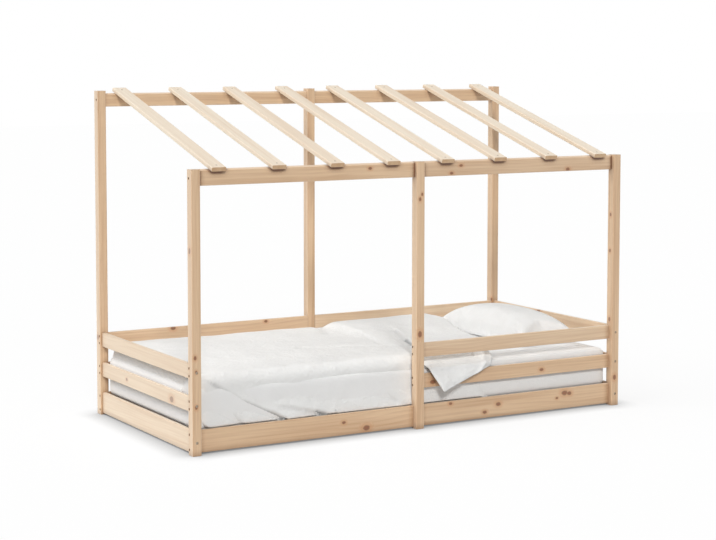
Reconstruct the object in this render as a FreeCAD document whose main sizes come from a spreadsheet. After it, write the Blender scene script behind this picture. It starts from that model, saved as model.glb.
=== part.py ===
import FreeCAD, Part
import math
import os
import Sketcher

# A child's house frame bed in pine: six posts, rails and boards between them, eight
# sloping roof slats, a slatted base, and a mattress with duvet and pillow.
# Millimetres. X runs along the bed from the foot (-) to the head (+), -Y is the open
# front, Z is up, and the origin is on the floor under the middle of the frame.

os.makedirs("parts", exist_ok=True)
doc = FreeCAD.newDocument("HouseFrameBed")
sheet = doc.addObject("Spreadsheet::Sheet", "Dims")

drivingSizes = [
    ("frameLength", 2082),
    ("frameDepth", 980),
    ("backPostHeight", 1400),
    ("frontPostHeight", 1115),
    ("postWidth", 38),
    ("postDepth", 40),
    ("edgeEase", 2),
    # rails and boards around the mattress
    ("railLift", 6),
    ("bottomRailHeight", 90),
    ("boardHeight", 60),
    ("boardGap", 70),
    ("railThickness", 16),
    ("railRecess", 24),
    ("endBoardThickness", 17),
    ("endBoardRecess", 10),
    # top rails and roof
    ("frontTopRailHeight", 59),
    ("backTopRailHeight", 58),
    ("topRailThickness", 20),
    ("topRailRecess", 15),
    ("frontTopRailDrop", 5.5),
    ("backTopRailDrop", 10),
    ("roofSlatCount", 8),
    ("roofSlatWidth", 62),
    ("roofSlatThickness", 17),
    ("roofSlatEndInset", 117),
    ("roofOverhang", 15),
    # slatted base
    ("ledgerLift", 40),
    ("ledgerHeight", 30),
    ("ledgerThickness", 20),
    ("ledgerEndGap", 2),
    ("baseSlatCount", 13),
    ("baseSlatWidth", 70),
    ("baseSlatThickness", 14),
    ("baseSlatEndInset", 84),
    ("baseSlatEndGap", 3),
    ("strapWidth", 30),
    ("strapThickness", 1.5),
    ("strapInset", 200),
    # fasteners
    ("boltRadius", 3),
    ("boltLength", 70),
    ("boltHeadRadius", 5),
    ("boltHeadHeight", 4),
    ("boltHeadSink", 7),
    ("boltClearance", 0.3),
    ("headClearance", 0.5),
    ("boltEdgeInset", 15),
    ("nutRadius", 5),
    ("nutLength", 11),
    ("nutEndInset", 30),
    ("nutHoleDepth", 14.5),
    ("nutClearance", 0.15),
    ("screwRadius", 2),
    ("screwHeadRadius", 4),
    ("screwHeadHeight", 2.5),
    ("roofScrewLength", 35),
    ("ledgerScrewLength", 31),
    ("screwClearance", 0.1),
    ("ledgerScrewInset", 120),
    # bedding
    ("seatGap", 0.3),
    ("mattressEndGap", 29),
    ("mattressFrontGap", 20),
    ("mattressBackGap", 8),
    ("mattressHeight", 170),
    ("mattressCorner", 32),
    ("mattressEdge", 14),
    ("duvetThickness", 54),
    ("duvetDropThickness", 12),
    ("duvetDropClearance", 2),
    ("duvetFootMargin", 4),
    ("duvetBackMargin", 18),
    ("duvetPillowGap", 1),
    ("duvetSideSetBack", 240),
    ("duvetHeadCutBack", 235),
    ("duvetTuck", 8),
    ("flapStart", 45),
    ("flapLength", 327),
    ("flapDrop", 88),
    ("flapThickness", 12),
    ("flapNeckHeight", 34),
    ("pillowLength", 740),
    ("pillowWidth", 385),
    ("pillowHeight", 142),
    ("pillowHeadMargin", 4),
    ("pillowBackMargin", 48),
]
for row, (alias, value) in enumerate(drivingSizes, start=1):
    sheet.set(f"A{row}", alias)
    sheet.set(f"B{row}", str(value))
    sheet.setAlias(f"B{row}", alias)
doc.recompute()


def dim(alias):
    return float(sheet.get(alias))


# ---------------------------------------------------------------- shared places
halfLength = dim("frameLength") / 2
halfDepth = dim("frameDepth") / 2
postWidth = dim("postWidth")
postDepth = dim("postDepth")
bayLength = halfLength - 1.5 * postWidth
leftBayStart = -halfLength + postWidth
rightBayStart = postWidth / 2
innerSideFace = halfDepth - dim("railRecess") - dim("railThickness")
innerEndFace = halfLength - dim("endBoardRecess") - dim("endBoardThickness")
railCentre = dim("railRecess") + dim("railThickness") / 2
topRailCentre = dim("topRailRecess") + dim("topRailThickness") / 2
endBoardCentre = dim("endBoardRecess") + dim("endBoardThickness") / 2

bottomLevel = dim("railLift")
middleLevel = bottomLevel + dim("bottomRailHeight") + dim("boardGap")
topLevel = middleLevel + dim("boardHeight") + dim("boardGap")
levels = {"bottom": bottomLevel, "middle": middleLevel, "top": topLevel}
levelHeights = {
    "bottom": ("bottomRailHeight", dim("bottomRailHeight")),
    "middle": ("boardHeight", dim("boardHeight")),
    "top": ("boardHeight", dim("boardHeight")),
}

# the roof's underside runs through the outer top edges of both top rails
roofFrontY = -halfDepth + dim("topRailRecess")
roofBackY = halfDepth - dim("topRailRecess")
roofFrontZ = dim("frontPostHeight") - dim("frontTopRailDrop")
roofBackZ = dim("backPostHeight") - dim("backTopRailDrop")
roofPitch = math.atan2(roofBackZ - roofFrontZ, roofBackY - roofFrontY)
roofRise = dim("topRailThickness") * math.tan(roofPitch)


def boltHeights(level):
    """Heights of the two bolts that hold a board, each the same distance from its edge."""
    low = levels[level] + dim("boltEdgeInset")
    high = levels[level] + levelHeights[level][1] - dim("boltEdgeInset")
    return [low, high]


frontTopBoltZ = roofFrontZ - dim("frontTopRailHeight") / 2
backTopBoltZ = roofBackZ - dim("backTopRailHeight") / 2

# ---------------------------------------------------------------- building blocks
axisVectors = {
    "X": FreeCAD.Vector(1, 0, 0),
    "Y": FreeCAD.Vector(0, 1, 0),
    "Z": FreeCAD.Vector(0, 0, 1),
}
planeOf = {"X": ("YZ_Plane", 1), "Y": ("XZ_Plane", -1), "Z": ("XY_Plane", 1)}


def originPlane(body, role):
    for feature in body.Origin.OriginFeatures:
        if feature.Role == role:
            return feature
    raise RuntimeError("no plane " + role)


def newSketch(body, name, axis, offset=None):
    role, sign = planeOf[axis]
    sketch = body.newObject("Sketcher::SketchObject", name)
    sketch.AttachmentSupport = (originPlane(body, role), [""])
    sketch.MapMode = "FlatFace"
    if offset is not None:
        sketch.setExpression("AttachmentOffset.Base.z", f"{sign} * ({offset})")
    return sketch


def rectangle(sketch, widthSize, heightSize):
    """A rectangle from the sketch's origin, its two sizes bound to the sheet."""
    corners = [(0, 0), (50, 0), (50, 40), (0, 40)]
    for i in range(4):
        start = FreeCAD.Vector(*corners[i], 0)
        end = FreeCAD.Vector(*corners[(i + 1) % 4], 0)
        sketch.addGeometry(Part.LineSegment(start, end), False)
    for i in range(4):
        sketch.addConstraint(Sketcher.Constraint("Coincident", i, 2, (i + 1) % 4, 1))
    for i in (0, 2):
        sketch.addConstraint(Sketcher.Constraint("Horizontal", i))
    for i in (1, 3):
        sketch.addConstraint(Sketcher.Constraint("Vertical", i))
    sketch.addConstraint(Sketcher.Constraint("Coincident", 0, 1, -1, 1))
    for kind, line, size in (("DistanceX", 0, widthSize), ("DistanceY", 1, heightSize)):
        index = sketch.addConstraint(Sketcher.Constraint(kind, line, 1, line, 2, 40.0))
        sketch.setExpression(f"Constraints[{index}]", size)


def longEdges(shape, axis):
    """Names of the edges that run the timber's whole length."""
    unit = axisVectors[axis]
    names = []
    for number, edge in enumerate(shape.Edges, start=1):
        direction = edge.tangentAt(edge.FirstParameter)
        if abs(direction.dot(unit)) > 0.999:
            names.append(f"Edge{number}")
    return names


def timber(name, axis, acrossSizes, lengthSize, ease="Dims.edgeEase"):
    """A planed length of wood along one axis, from its own origin, with eased long edges."""
    body = doc.addObject("PartDesign::Body", name)
    body.Label = name
    sketch = newSketch(body, name + "_section", axis)
    rectangle(sketch, *acrossSizes)
    pad = body.newObject("PartDesign::Pad", name + "_length")
    pad.Profile = sketch
    pad.setExpression("Length", lengthSize)
    pad.Reversed = planeOf[axis][1] < 0
    doc.recompute()
    body.Tip = pad
    if ease:
        chamfer = body.newObject("PartDesign::Chamfer", name + "_ease")
        chamfer.Base = (pad, longEdges(pad.Shape, axis))
        chamfer.setExpression("Size", ease)
        body.Tip = chamfer
    return body


def drill(body, label, axis, places, radiusSize, depthSize=None, farFace=None):
    """Round holes along one axis: places are (u, v) on the face, depth None goes through."""
    if not places:
        return
    before = body.Tip.Shape.Volume if not body.Tip.Shape.isNull() else 0
    sign = planeOf[axis][1]
    sketch = newSketch(body, f"{body.Name}_{label}_marks", axis, farFace)
    for index, (u, v) in enumerate(places):
        circle = Part.Circle(FreeCAD.Vector(u, v, 0), FreeCAD.Vector(0, 0, 1), 3)
        sketch.addGeometry(circle, False)
        sketch.addConstraint(Sketcher.Constraint("DistanceX", -1, 1, index, 3, u))
        sketch.addConstraint(Sketcher.Constraint("DistanceY", -1, 1, index, 3, v))
        radius = sketch.addConstraint(Sketcher.Constraint("Radius", index, 3.0))
        sketch.setExpression(f"Constraints[{radius}]", radiusSize)
    pocket = body.newObject("PartDesign::Pocket", f"{body.Name}_{label}")
    pocket.Profile = sketch
    pocket.Reversed = (sign > 0) if farFace is None else (sign < 0)
    if depthSize is None:
        pocket.Type = 1
    else:
        pocket.setExpression("Length", depthSize)
    body.Tip = pocket
    doc.recompute()
    if before and not pocket.Shape.Volume < before:
        raise RuntimeError(f"{body.Name} {label}: the holes cut nothing")


def place(body, x, y, z, turn=None):
    rotation = turn if turn else FreeCAD.Rotation()
    body.Placement = FreeCAD.Placement(FreeCAD.Vector(x, y, z), rotation)


subParts = []


def keep(piece):
    subParts.append(piece)
    return piece


boltHole = "Dims.boltRadius + Dims.boltClearance"
headHole = "Dims.boltHeadRadius + Dims.headClearance"
nutHole = "Dims.nutRadius + Dims.nutClearance"
screwHole = "Dims.screwRadius + Dims.screwClearance"
reachAcross = "(Dims.boltLength - Dims.postWidth + Dims.boltHeadSink)"
reachAlong = "(Dims.boltLength - Dims.postDepth + Dims.boltHeadSink)"
roofSlope = (
    "((Dims.backPostHeight - Dims.backTopRailDrop - Dims.frontPostHeight + Dims.frontTopRailDrop)"
    " / (Dims.frameDepth - 2 * Dims.topRailRecess))"
)
boltPlaces = []      # (seat of the head, direction) of each bolt
studPlaces = []      # centre of each stud through a middle post
nutPlaces = []       # (centre, axis) of each barrel nut
roofScrewPlaces = []
ledgerScrewPlaces = []

# ---------------------------------------------------------------- posts
columns = {
    "left": -halfLength,
    "middle": -postWidth / 2,
    "right": halfLength - postWidth,
}
boardsOnSide = {
    ("front", "left"): ["bottom"],
    ("front", "right"): ["bottom", "middle", "top"],
    ("back", "left"): ["bottom", "middle", "top"],
    ("back", "right"): ["bottom", "middle", "top"],
}
postLines = {"front": -halfDepth, "back": halfDepth - postDepth}


def fromOuterFace(side, distance, depth):
    """Turns a distance from a piece's outer face into a place along its own Y."""
    return distance if side == "front" else depth - distance


def makePost(side, column):
    name = f"post_{side}_{column}"
    heightSize = f"Dims.{side}PostHeight"
    body = timber(name, "Z", ("Dims.postWidth", "Dims.postDepth"), heightSize)
    x0, y0 = columns[column], postLines[side]
    place(body, x0, y0, 0)
    lineY = fromOuterFace(side, railCentre, postDepth)
    topY = fromOuterFace(side, topRailCentre, postDepth)
    topZ = frontTopBoltZ if side == "front" else backTopBoltZ
    bays = ["left", "right"] if column == "middle" else [column]
    held = {level for bay in bays for level in boardsOnSide[(side, bay)]}
    shared = held if column != "middle" else set.intersection(
        *(set(boardsOnSide[(side, bay)]) for bay in bays))
    boardHoles = [(lineY, z) for level in sorted(held) for z in boltHeights(level)]
    sharedHoles = [(lineY, z) for level in sorted(shared) for z in boltHeights(level)]
    spareHoles = []
    if name == "post_front_left":
        # the guard fits either bay, so its holes are here too
        spareHoles = [(lineY, z) for level in ("middle", "top") for z in boltHeights(level)]
    through = boardHoles + spareHoles + [(topY, topZ)]
    drill(body, "bolt_holes", "X", through, boltHole)
    if column == "middle":
        single = [hole for hole in boardHoles if hole not in sharedHoles]
        studPlaces.extend((0, y0 + y, z) for y, z in sharedHoles + [(topY, topZ)])
    else:
        single = boardHoles + [(topY, topZ)]
    headAtRight = column == "right"
    sunk = single + spareHoles
    face = "Dims.postWidth" if headAtRight else None
    drill(body, "head_holes", "X", sunk, headHole, "Dims.boltHeadSink", face)
    for y, z in single:
        sink = dim("boltHeadSink")
        seatX = x0 + (postWidth - sink if headAtRight else sink)
        boltPlaces.append(((seatX, y0 + y, z), (-1 if headAtRight else 1, 0, 0)))
    if column != "middle":
        drillForEndBoards(body, side, column, x0, y0)
    return keep(body)


def drillForEndBoards(body, side, column, x0, y0):
    localX = endBoardCentre if column == "left" else postWidth - endBoardCentre
    places = [(localX, levels[level] + levelHeights[level][1] / 2) for level in levels]
    drill(body, "end_bolt_holes", "Y", places, boltHole)
    face = None if side == "front" else "Dims.postDepth"
    drill(body, "end_head_holes", "Y", places, headHole, "Dims.boltHeadSink", face)
    sink = dim("boltHeadSink")
    seatY = y0 + (sink if side == "front" else postDepth - sink)
    for x, z in places:
        boltPlaces.append(((x0 + x, seatY, z), (0, 1 if side == "front" else -1, 0)))


for side in ("front", "back"):
    for column in columns:
        makePost(side, column)

# ---------------------------------------------------------------- side rails and boards
bayStarts = {"left": leftBayStart, "right": rightBayStart}
bayLengthSize = "(Dims.frameLength / 2 - 1.5 * Dims.postWidth)"
boardNames = {
    "front": {"bottom": "front_bottom_rail", "middle": "guard_rail_middle", "top": "guard_rail_top"},
    "back": {"bottom": "back_board_bottom", "middle": "back_board_middle", "top": "back_board_top"},
}
ledgerScrewTravel = bayLength - 2 * dim("ledgerScrewInset")
ledgerScrewXs = [dim("ledgerScrewInset") + ledgerScrewTravel * i / 3 for i in range(4)]
ledgerScrewZ = dim("ledgerLift") + dim("ledgerHeight") / 2
ledgerHeadSink = "(Dims.screwHeadHeight + Dims.seatGap)"
ledgerPilotDepth = f"(Dims.ledgerScrewLength - Dims.ledgerThickness + {ledgerHeadSink} + Dims.seatGap)"


def drillEnds(body, axis, lengthSize, places, reachSize):
    """Blind bolt holes in both end faces."""
    depth = f"{reachSize} + Dims.boltRadius"
    drill(body, "near_end_holes", axis, places, boltHole, depth)
    drill(body, "far_end_holes", axis, places, boltHole, depth, lengthSize)


# Nut holes face away from the open front and the foot, where they don't show.
def makeSideBoard(side, bay, level):
    stem = boardNames[side][level]
    name = stem if side == "front" and level != "bottom" else f"{stem}_{bay}"
    heightAlias, height = levelHeights[level]
    sizes = ("Dims.railThickness", f"Dims.{heightAlias}")
    body = timber(name, "X", sizes, bayLengthSize)
    thickness = dim("railThickness")
    y0 = -innerSideFace - thickness if side == "front" else innerSideFace
    place(body, bayStarts[bay], y0, levels[level])
    inset = dim("boltEdgeInset")
    holes = [(thickness / 2, inset), (thickness / 2, height - inset)]
    drillEnds(body, "X", bayLengthSize, holes, reachAcross)
    nutXs = [dim("nutEndInset"), bayLength - dim("nutEndInset")]
    nutHoles = [(x, z) for x in nutXs for _, z in holes]
    drill(body, "nut_holes", "Y", nutHoles, nutHole, "Dims.nutHoleDepth", "Dims.railThickness")
    for x, z in nutHoles:
        centre = (bayStarts[bay] + x, y0 + thickness / 2, levels[level] + z)
        nutPlaces.append((centre, (0, 1, 0)))
    if level == "bottom":
        pilots = [(x, ledgerScrewZ - levels[level]) for x in ledgerScrewXs]
        innerFace = "Dims.railThickness" if side == "front" else None
        drill(body, "ledger_pilots", "Y", pilots, screwHole, ledgerPilotDepth, innerFace)
    return keep(body)


for (side, bay), boardLevels in boardsOnSide.items():
    for level in boardLevels:
        makeSideBoard(side, bay, level)


# ---------------------------------------------------------------- end boards
endLengthSize = "(Dims.frameDepth - 2 * Dims.postDepth)"
endLength = 2 * halfDepth - 2 * postDepth


def makeEndBoard(end, level):
    heightAlias, height = levelHeights[level]
    thickness = dim("endBoardThickness")
    sizes = ("Dims.endBoardThickness", f"Dims.{heightAlias}")
    body = timber(f"{end}_end_board_{level}", "Y", sizes, endLengthSize)
    inset = dim("endBoardRecess")
    x0 = -halfLength + inset if end == "foot" else halfLength - inset - thickness
    y0 = -halfDepth + postDepth
    place(body, x0, y0, levels[level])
    drillEnds(body, "Y", endLengthSize, [(thickness / 2, height / 2)], reachAlong)
    nutYs = [dim("nutEndInset"), endLength - dim("nutEndInset")]
    places = [(y, height / 2) for y in nutYs]
    drill(body, "nut_holes", "X", places, nutHole, "Dims.nutHoleDepth", "Dims.endBoardThickness")
    for y, z in places:
        nutPlaces.append(((x0 + thickness / 2, y0 + y, levels[level] + z), (1, 0, 0)))
    return keep(body)


for end in ("foot", "head"):
    for level in levels:
        makeEndBoard(end, level)


# ---------------------------------------------------------------- top rails
roofRiseSize = f"Dims.topRailThickness * {roofSlope}"
roofCosine = math.cos(roofPitch)
roofNormal = FreeCAD.Vector(0, -math.sin(roofPitch), roofCosine)



def spread(count, outermost):
    """Evenly spaced places from -outermost to outermost."""
    return [outermost * (2 * i / (count - 1) - 1) for i in range(count)]


slatXs = spread(int(dim("roofSlatCount")), halfLength - dim("roofSlatEndInset"))
roofHeadSink = "(Dims.screwHeadHeight + Dims.seatGap)"
roofPilotDepth = f"(Dims.roofScrewLength - Dims.roofSlatThickness + {roofHeadSink} + Dims.seatGap)"


def topRailSection(body, side):
    """A rail's section: upright faces, flat below, planed to the roof's slope on top."""
    sketch = newSketch(body, body.Name + "_section", "X")
    outer = f"Dims.{side}TopRailHeight"
    if side == "front":
        nearHeight, farHeight = outer, f"{outer} + {roofRiseSize}"
    else:
        nearHeight, farHeight = f"{outer} - {roofRiseSize}", outer
    corners = [(0, 0), (20, 0), (20, 62), (0, 58)]
    for i in range(4):
        start = FreeCAD.Vector(*corners[i], 0)
        end = FreeCAD.Vector(*corners[(i + 1) % 4], 0)
        sketch.addGeometry(Part.LineSegment(start, end), False)
    for i in range(4):
        sketch.addConstraint(Sketcher.Constraint("Coincident", i, 2, (i + 1) % 4, 1))
    sketch.addConstraint(Sketcher.Constraint("Horizontal", 0))
    sketch.addConstraint(Sketcher.Constraint("Vertical", 1))
    sketch.addConstraint(Sketcher.Constraint("Vertical", 3))
    sketch.addConstraint(Sketcher.Constraint("Coincident", 0, 1, -1, 1))
    bound = (
        ("DistanceX", (0, 1, 0, 2), "Dims.topRailThickness"),
        ("DistanceY", (1, 1, 1, 2), farHeight),
        ("DistanceY", (3, 2, 3, 1), nearHeight),
    )
    for kind, ends, size in bound:
        index = sketch.addConstraint(Sketcher.Constraint(kind, *ends, 58.0))
        sketch.setExpression(f"Constraints[{index}]", size)
    return sketch


def makeTopRail(side, bay):
    name = f"top_rail_{side}_{bay}"
    body = doc.addObject("PartDesign::Body", name)
    body.Label = name
    pad = body.newObject("PartDesign::Pad", name + "_length")
    pad.Profile = topRailSection(body, side)
    pad.setExpression("Length", bayLengthSize)
    doc.recompute()
    ease = body.newObject("PartDesign::Chamfer", name + "_ease")
    ease.Base = (pad, longEdges(pad.Shape, "X"))
    ease.setExpression("Size", "Dims.edgeEase")
    body.Tip = ease
    doc.recompute()
    thickness = dim("topRailThickness")
    outerHeight = dim(f"{side}TopRailHeight")
    outerZ = roofFrontZ if side == "front" else roofBackZ
    y0 = roofFrontY if side == "front" else roofBackY - thickness
    z0 = outerZ - outerHeight
    place(body, bayStarts[bay], y0, z0)
    boltAt = [(thickness / 2, outerHeight / 2)]
    drillEnds(body, "X", bayLengthSize, boltAt, reachAcross)
    nutXs = [dim("nutEndInset"), bayLength - dim("nutEndInset")]
    nutHoles = [(x, outerHeight / 2) for x in nutXs]
    depth = "(Dims.topRailThickness + Dims.nutLength) / 2 + Dims.seatGap"
    drill(body, "nut_holes", "Y", nutHoles, nutHole, depth, "Dims.topRailThickness")
    for x, z in nutHoles:
        nutPlaces.append(((bayStarts[bay] + x, y0 + thickness / 2, z0 + z), (0, 1, 0)))
    drillRoofPilots(body, side, bay, y0, z0)
    return keep(body)


def undersideZ(y):
    return roofFrontZ + (y - roofFrontY) * math.tan(roofPitch)


def drillRoofPilots(body, side, bay, y0, z0):
    middleY = y0 + dim("topRailThickness") / 2
    seat = FreeCAD.Vector(0, middleY, undersideZ(middleY))
    inBay = [x for x in slatXs if (x < 0) == (bay == "left")]
    turn = FreeCAD.Rotation(FreeCAD.Vector(0, 0, 1), -roofNormal)
    for number, x in enumerate(inBay, start=1):
        pilot = body.newObject("PartDesign::SubtractiveCylinder", f"{body.Name}_pilot_{number}")
        pilot.setExpression("Radius", screwHole)
        pilot.setExpression("Height", roofPilotDepth)
        start = FreeCAD.Vector(x - bayStarts[bay], middleY - y0, seat.z - z0) + roofNormal
        pilot.Placement = FreeCAD.Placement(start, turn)
        body.Tip = pilot
        doc.recompute()
        roofScrewPlaces.append((x, middleY))


for side in ("front", "back"):
    for bay in bayStarts:
        makeTopRail(side, bay)


# ---------------------------------------------------------------- roof slats
# the ends are cut square to the slat, so each lower end's top corner stands out as far in
# front as the upper end's bottom corner does behind
roofSlatLengthSize = (
    f"(Dims.frameDepth - 2 * Dims.topRailRecess + 2 * Dims.roofOverhang) * sqrt(1 + {roofSlope} ^ 2)"
    f" + Dims.roofSlatThickness * {roofSlope}"
)


def makeRoofSlat(number, x):
    name = f"roof_slat_{number}"
    sizes = ("Dims.roofSlatWidth", "Dims.roofSlatThickness")
    body = timber(name, "Y", sizes, roofSlatLengthSize)
    frontY = roofFrontY - dim("roofOverhang")
    turn = FreeCAD.Rotation(FreeCAD.Vector(1, 0, 0), math.degrees(roofPitch))
    place(body, x - dim("roofSlatWidth") / 2, frontY, undersideZ(frontY), turn)
    railHalf = dim("topRailThickness") / 2
    screwYs = [roofFrontY + railHalf, roofBackY - railHalf]
    along = [(y - frontY) / roofCosine for y in screwYs]
    holes = [(dim("roofSlatWidth") / 2, distance) for distance in along]
    drill(body, "screw_holes", "Z", holes, screwHole)
    headRadius = "Dims.screwHeadRadius + Dims.screwClearance"
    drill(body, "head_holes", "Z", holes, headRadius, roofHeadSink, "Dims.roofSlatThickness")
    return keep(body)


for number, x in enumerate(slatXs, start=1):
    makeRoofSlat(number, x)


# ---------------------------------------------------------------- slatted base
ledgerTop = dim("ledgerLift") + dim("ledgerHeight")
ledgerLengthSize = f"{bayLengthSize} - 2 * Dims.ledgerEndGap"


def makeLedger(side, bay):
    name = f"ledger_{side}_{bay}"
    body = timber(name, "X", ("Dims.ledgerThickness", "Dims.ledgerHeight"), ledgerLengthSize)
    thickness = dim("ledgerThickness")
    y0 = -innerSideFace if side == "front" else innerSideFace - thickness
    x0 = bayStarts[bay] + dim("ledgerEndGap")
    place(body, x0, y0, dim("ledgerLift"))
    innerFace = "Dims.ledgerThickness" if side == "front" else None
    holes = [(x - dim("ledgerEndGap"), dim("ledgerHeight") / 2) for x in ledgerScrewXs]
    drill(body, "screw_holes", "Y", holes, screwHole)
    headRadius = "Dims.screwHeadRadius + Dims.screwClearance"
    drill(body, "head_holes", "Y", holes, headRadius, ledgerHeadSink, innerFace)
    inward = 1 if side == "front" else -1
    seatY = inward * (-innerSideFace + thickness - dim("screwHeadHeight") - dim("seatGap"))
    for x, z in holes:
        ledgerScrewPlaces.append(((x0 + x, seatY, dim("ledgerLift") + z), (0, -inward, 0)))
    return keep(body)


for side in ("front", "back"):
    for bay in bayStarts:
        makeLedger(side, bay)

baseSlatXs = spread(int(dim("baseSlatCount")), innerEndFace - dim("baseSlatEndInset"))
innerLengthSize = "(Dims.frameLength - 2 * Dims.endBoardRecess - 2 * Dims.endBoardThickness)"
innerDepthSize = "(Dims.frameDepth - 2 * Dims.railRecess - 2 * Dims.railThickness)"
strapLengthSize = f"{innerLengthSize} - 2 * Dims.baseSlatEndInset + Dims.baseSlatWidth"


def makeBaseSlat(number, x):
    sizes = ("Dims.baseSlatWidth", "Dims.baseSlatThickness")
    length = f"{innerDepthSize} - 2 * Dims.baseSlatEndGap"
    body = timber(f"base_slat_{number:02d}", "Y", sizes, length)
    place(body, x - dim("baseSlatWidth") / 2, -innerSideFace + dim("baseSlatEndGap"), ledgerTop)
    return keep(body)


for number, x in enumerate(baseSlatXs, start=1):
    makeBaseSlat(number, x)


def makeStraps():
    """Two webbing straps under the base slats, which keep them apart."""
    straps = []
    strapLength = baseSlatXs[-1] - baseSlatXs[0] + dim("baseSlatWidth")
    for number, towardBack in enumerate((-1, 1), start=1):
        strap = doc.addObject("Part::Box", f"strap_{number}")
        strap.setExpression("Length", strapLengthSize)
        strap.setExpression("Width", "Dims.strapWidth")
        strap.setExpression("Height", "Dims.strapThickness")
        y = towardBack * (innerSideFace - dim("strapInset")) - dim("strapWidth") / 2
        place(strap, -strapLength / 2, y, ledgerTop - dim("strapThickness"))
        straps.append(strap)
    group = doc.addObject("Part::Compound", "slat_straps")
    group.Label = "slat_straps"
    group.Links = straps
    return keep(group)


makeStraps()


# ---------------------------------------------------------------- fasteners
def centredPin(radius, length, axis):
    """A plain pin, its middle at the origin."""
    direction = axisVectors[axis]
    return Part.makeCylinder(radius, length, direction * (-length / 2), direction)


def headedPin(kind, length):
    """A bolt or screw along +X, its head's seat at the origin."""
    forward = axisVectors["X"]
    origin = FreeCAD.Vector(0, 0, 0)
    headHeight = dim(kind + "HeadHeight")
    pin = Part.makeCylinder(dim(kind + "Radius"), length, origin, forward)
    head = Part.makeCylinder(dim(kind + "HeadRadius"), headHeight, forward * -headHeight, forward)
    return pin.fuse(head).removeSplitter()


def aimed(shape, point, direction):
    turn = FreeCAD.Rotation(FreeCAD.Vector(1, 0, 0), FreeCAD.Vector(*direction))
    moved = shape.copy()
    moved.Placement = FreeCAD.Placement(FreeCAD.Vector(*point), turn)
    return moved


def fastenerGroup(name, shapes):
    group = doc.addObject("Part::Feature", name)
    group.Label = name
    group.Shape = Part.makeCompound(shapes)
    return keep(group)


def makeFrameBolts():
    bolt = headedPin("bolt", dim("boltLength"))
    return fastenerGroup("frame_bolts", [aimed(bolt, *seat) for seat in boltPlaces])


def makeMiddleStuds():
    reach = dim("boltLength") - postWidth + dim("boltHeadSink")
    length = postWidth + 2 * reach
    stud = centredPin(dim("boltRadius"), length, "X")
    studs = [aimed(stud, centre, (1, 0, 0)) for centre in studPlaces]
    return fastenerGroup("middle_post_studs", studs)


def makeBarrelNuts():
    radius = dim("nutRadius")
    nut = centredPin(radius, dim("nutLength"), "X")
    threadHole = centredPin(dim("boltRadius") + dim("screwClearance"), 4 * radius, "Y")
    nuts = [aimed(nut.cut(threadHole), centre, axis) for centre, axis in nutPlaces]
    return fastenerGroup("barrel_nuts", nuts)


def makeRoofScrews():
    screw = headedPin("screw", dim("roofScrewLength"))
    lift = dim("roofSlatThickness") - dim("screwHeadHeight") - dim("seatGap")
    shapes = []
    for x, y in roofScrewPlaces:
        seat = FreeCAD.Vector(x, y, undersideZ(y)) + roofNormal * lift
        shapes.append(aimed(screw, seat, -roofNormal))
    return fastenerGroup("roof_screws", shapes)


def makeLedgerScrews():
    screw = headedPin("screw", dim("ledgerScrewLength"))
    return fastenerGroup("ledger_screws", [aimed(screw, *seat) for seat in ledgerScrewPlaces])


makeFrameBolts()
makeMiddleStuds()
makeBarrelNuts()
makeRoofScrews()
makeLedgerScrews()

# ---------------------------------------------------------------- bedding
bedTop = ledgerTop + dim("baseSlatThickness")
mattressFloor = bedTop + dim("seatGap")
mattressTop = mattressFloor + dim("mattressHeight")
mattressFront = -innerSideFace + dim("mattressFrontGap")
mattressBack = innerSideFace - dim("mattressBackGap")
mattressEnd = innerEndFace - dim("mattressEndGap")
pillowCentre = mattressEnd - dim("pillowHeadMargin") - dim("pillowWidth") / 2
backFullness = 0.6  # share of the duvet's thickness that stands at its back edge
shoulderFullness = 0.72  # the same where it turns down over the front
headRise = 1.25  # the duvet is this much thicker beside the pillow


def makeMattress():
    block = doc.addObject("Part::Box", "mattress_block")
    block.setExpression("Length", f"{innerLengthSize} - 2 * Dims.mattressEndGap")
    block.setExpression("Width", f"{innerDepthSize} - Dims.mattressFrontGap - Dims.mattressBackGap")
    block.setExpression("Height", "Dims.mattressHeight")
    place(block, -mattressEnd, mattressFront, mattressFloor)
    doc.recompute()
    upright = longEdges(block.Shape, "Z")
    corners = doc.addObject("Part::Fillet", "mattress_corners")
    corners.Base = block
    corners.Edges = [(int(edge[4:]), dim("mattressCorner"), dim("mattressCorner")) for edge in upright]
    doc.recompute()
    rims = []
    for number, edge in enumerate(corners.Shape.Edges, start=1):
        heights = [vertex.Point.z for vertex in edge.Vertexes]
        if max(heights) - min(heights) < 0.01:
            rims.append((number, dim("mattressEdge"), dim("mattressEdge")))
    mattress = doc.addObject("Part::Fillet", "mattress")
    mattress.Label = "mattress"
    mattress.Base = corners
    mattress.Edges = rims
    return keep(mattress)


def point(x, y, z):
    return FreeCAD.Vector(x, y, z)


def arc(a, b, c):
    return Part.Arc(a, b, c).toShape()


def line(a, b):
    return Part.LineSegment(a, b).toShape()


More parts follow.
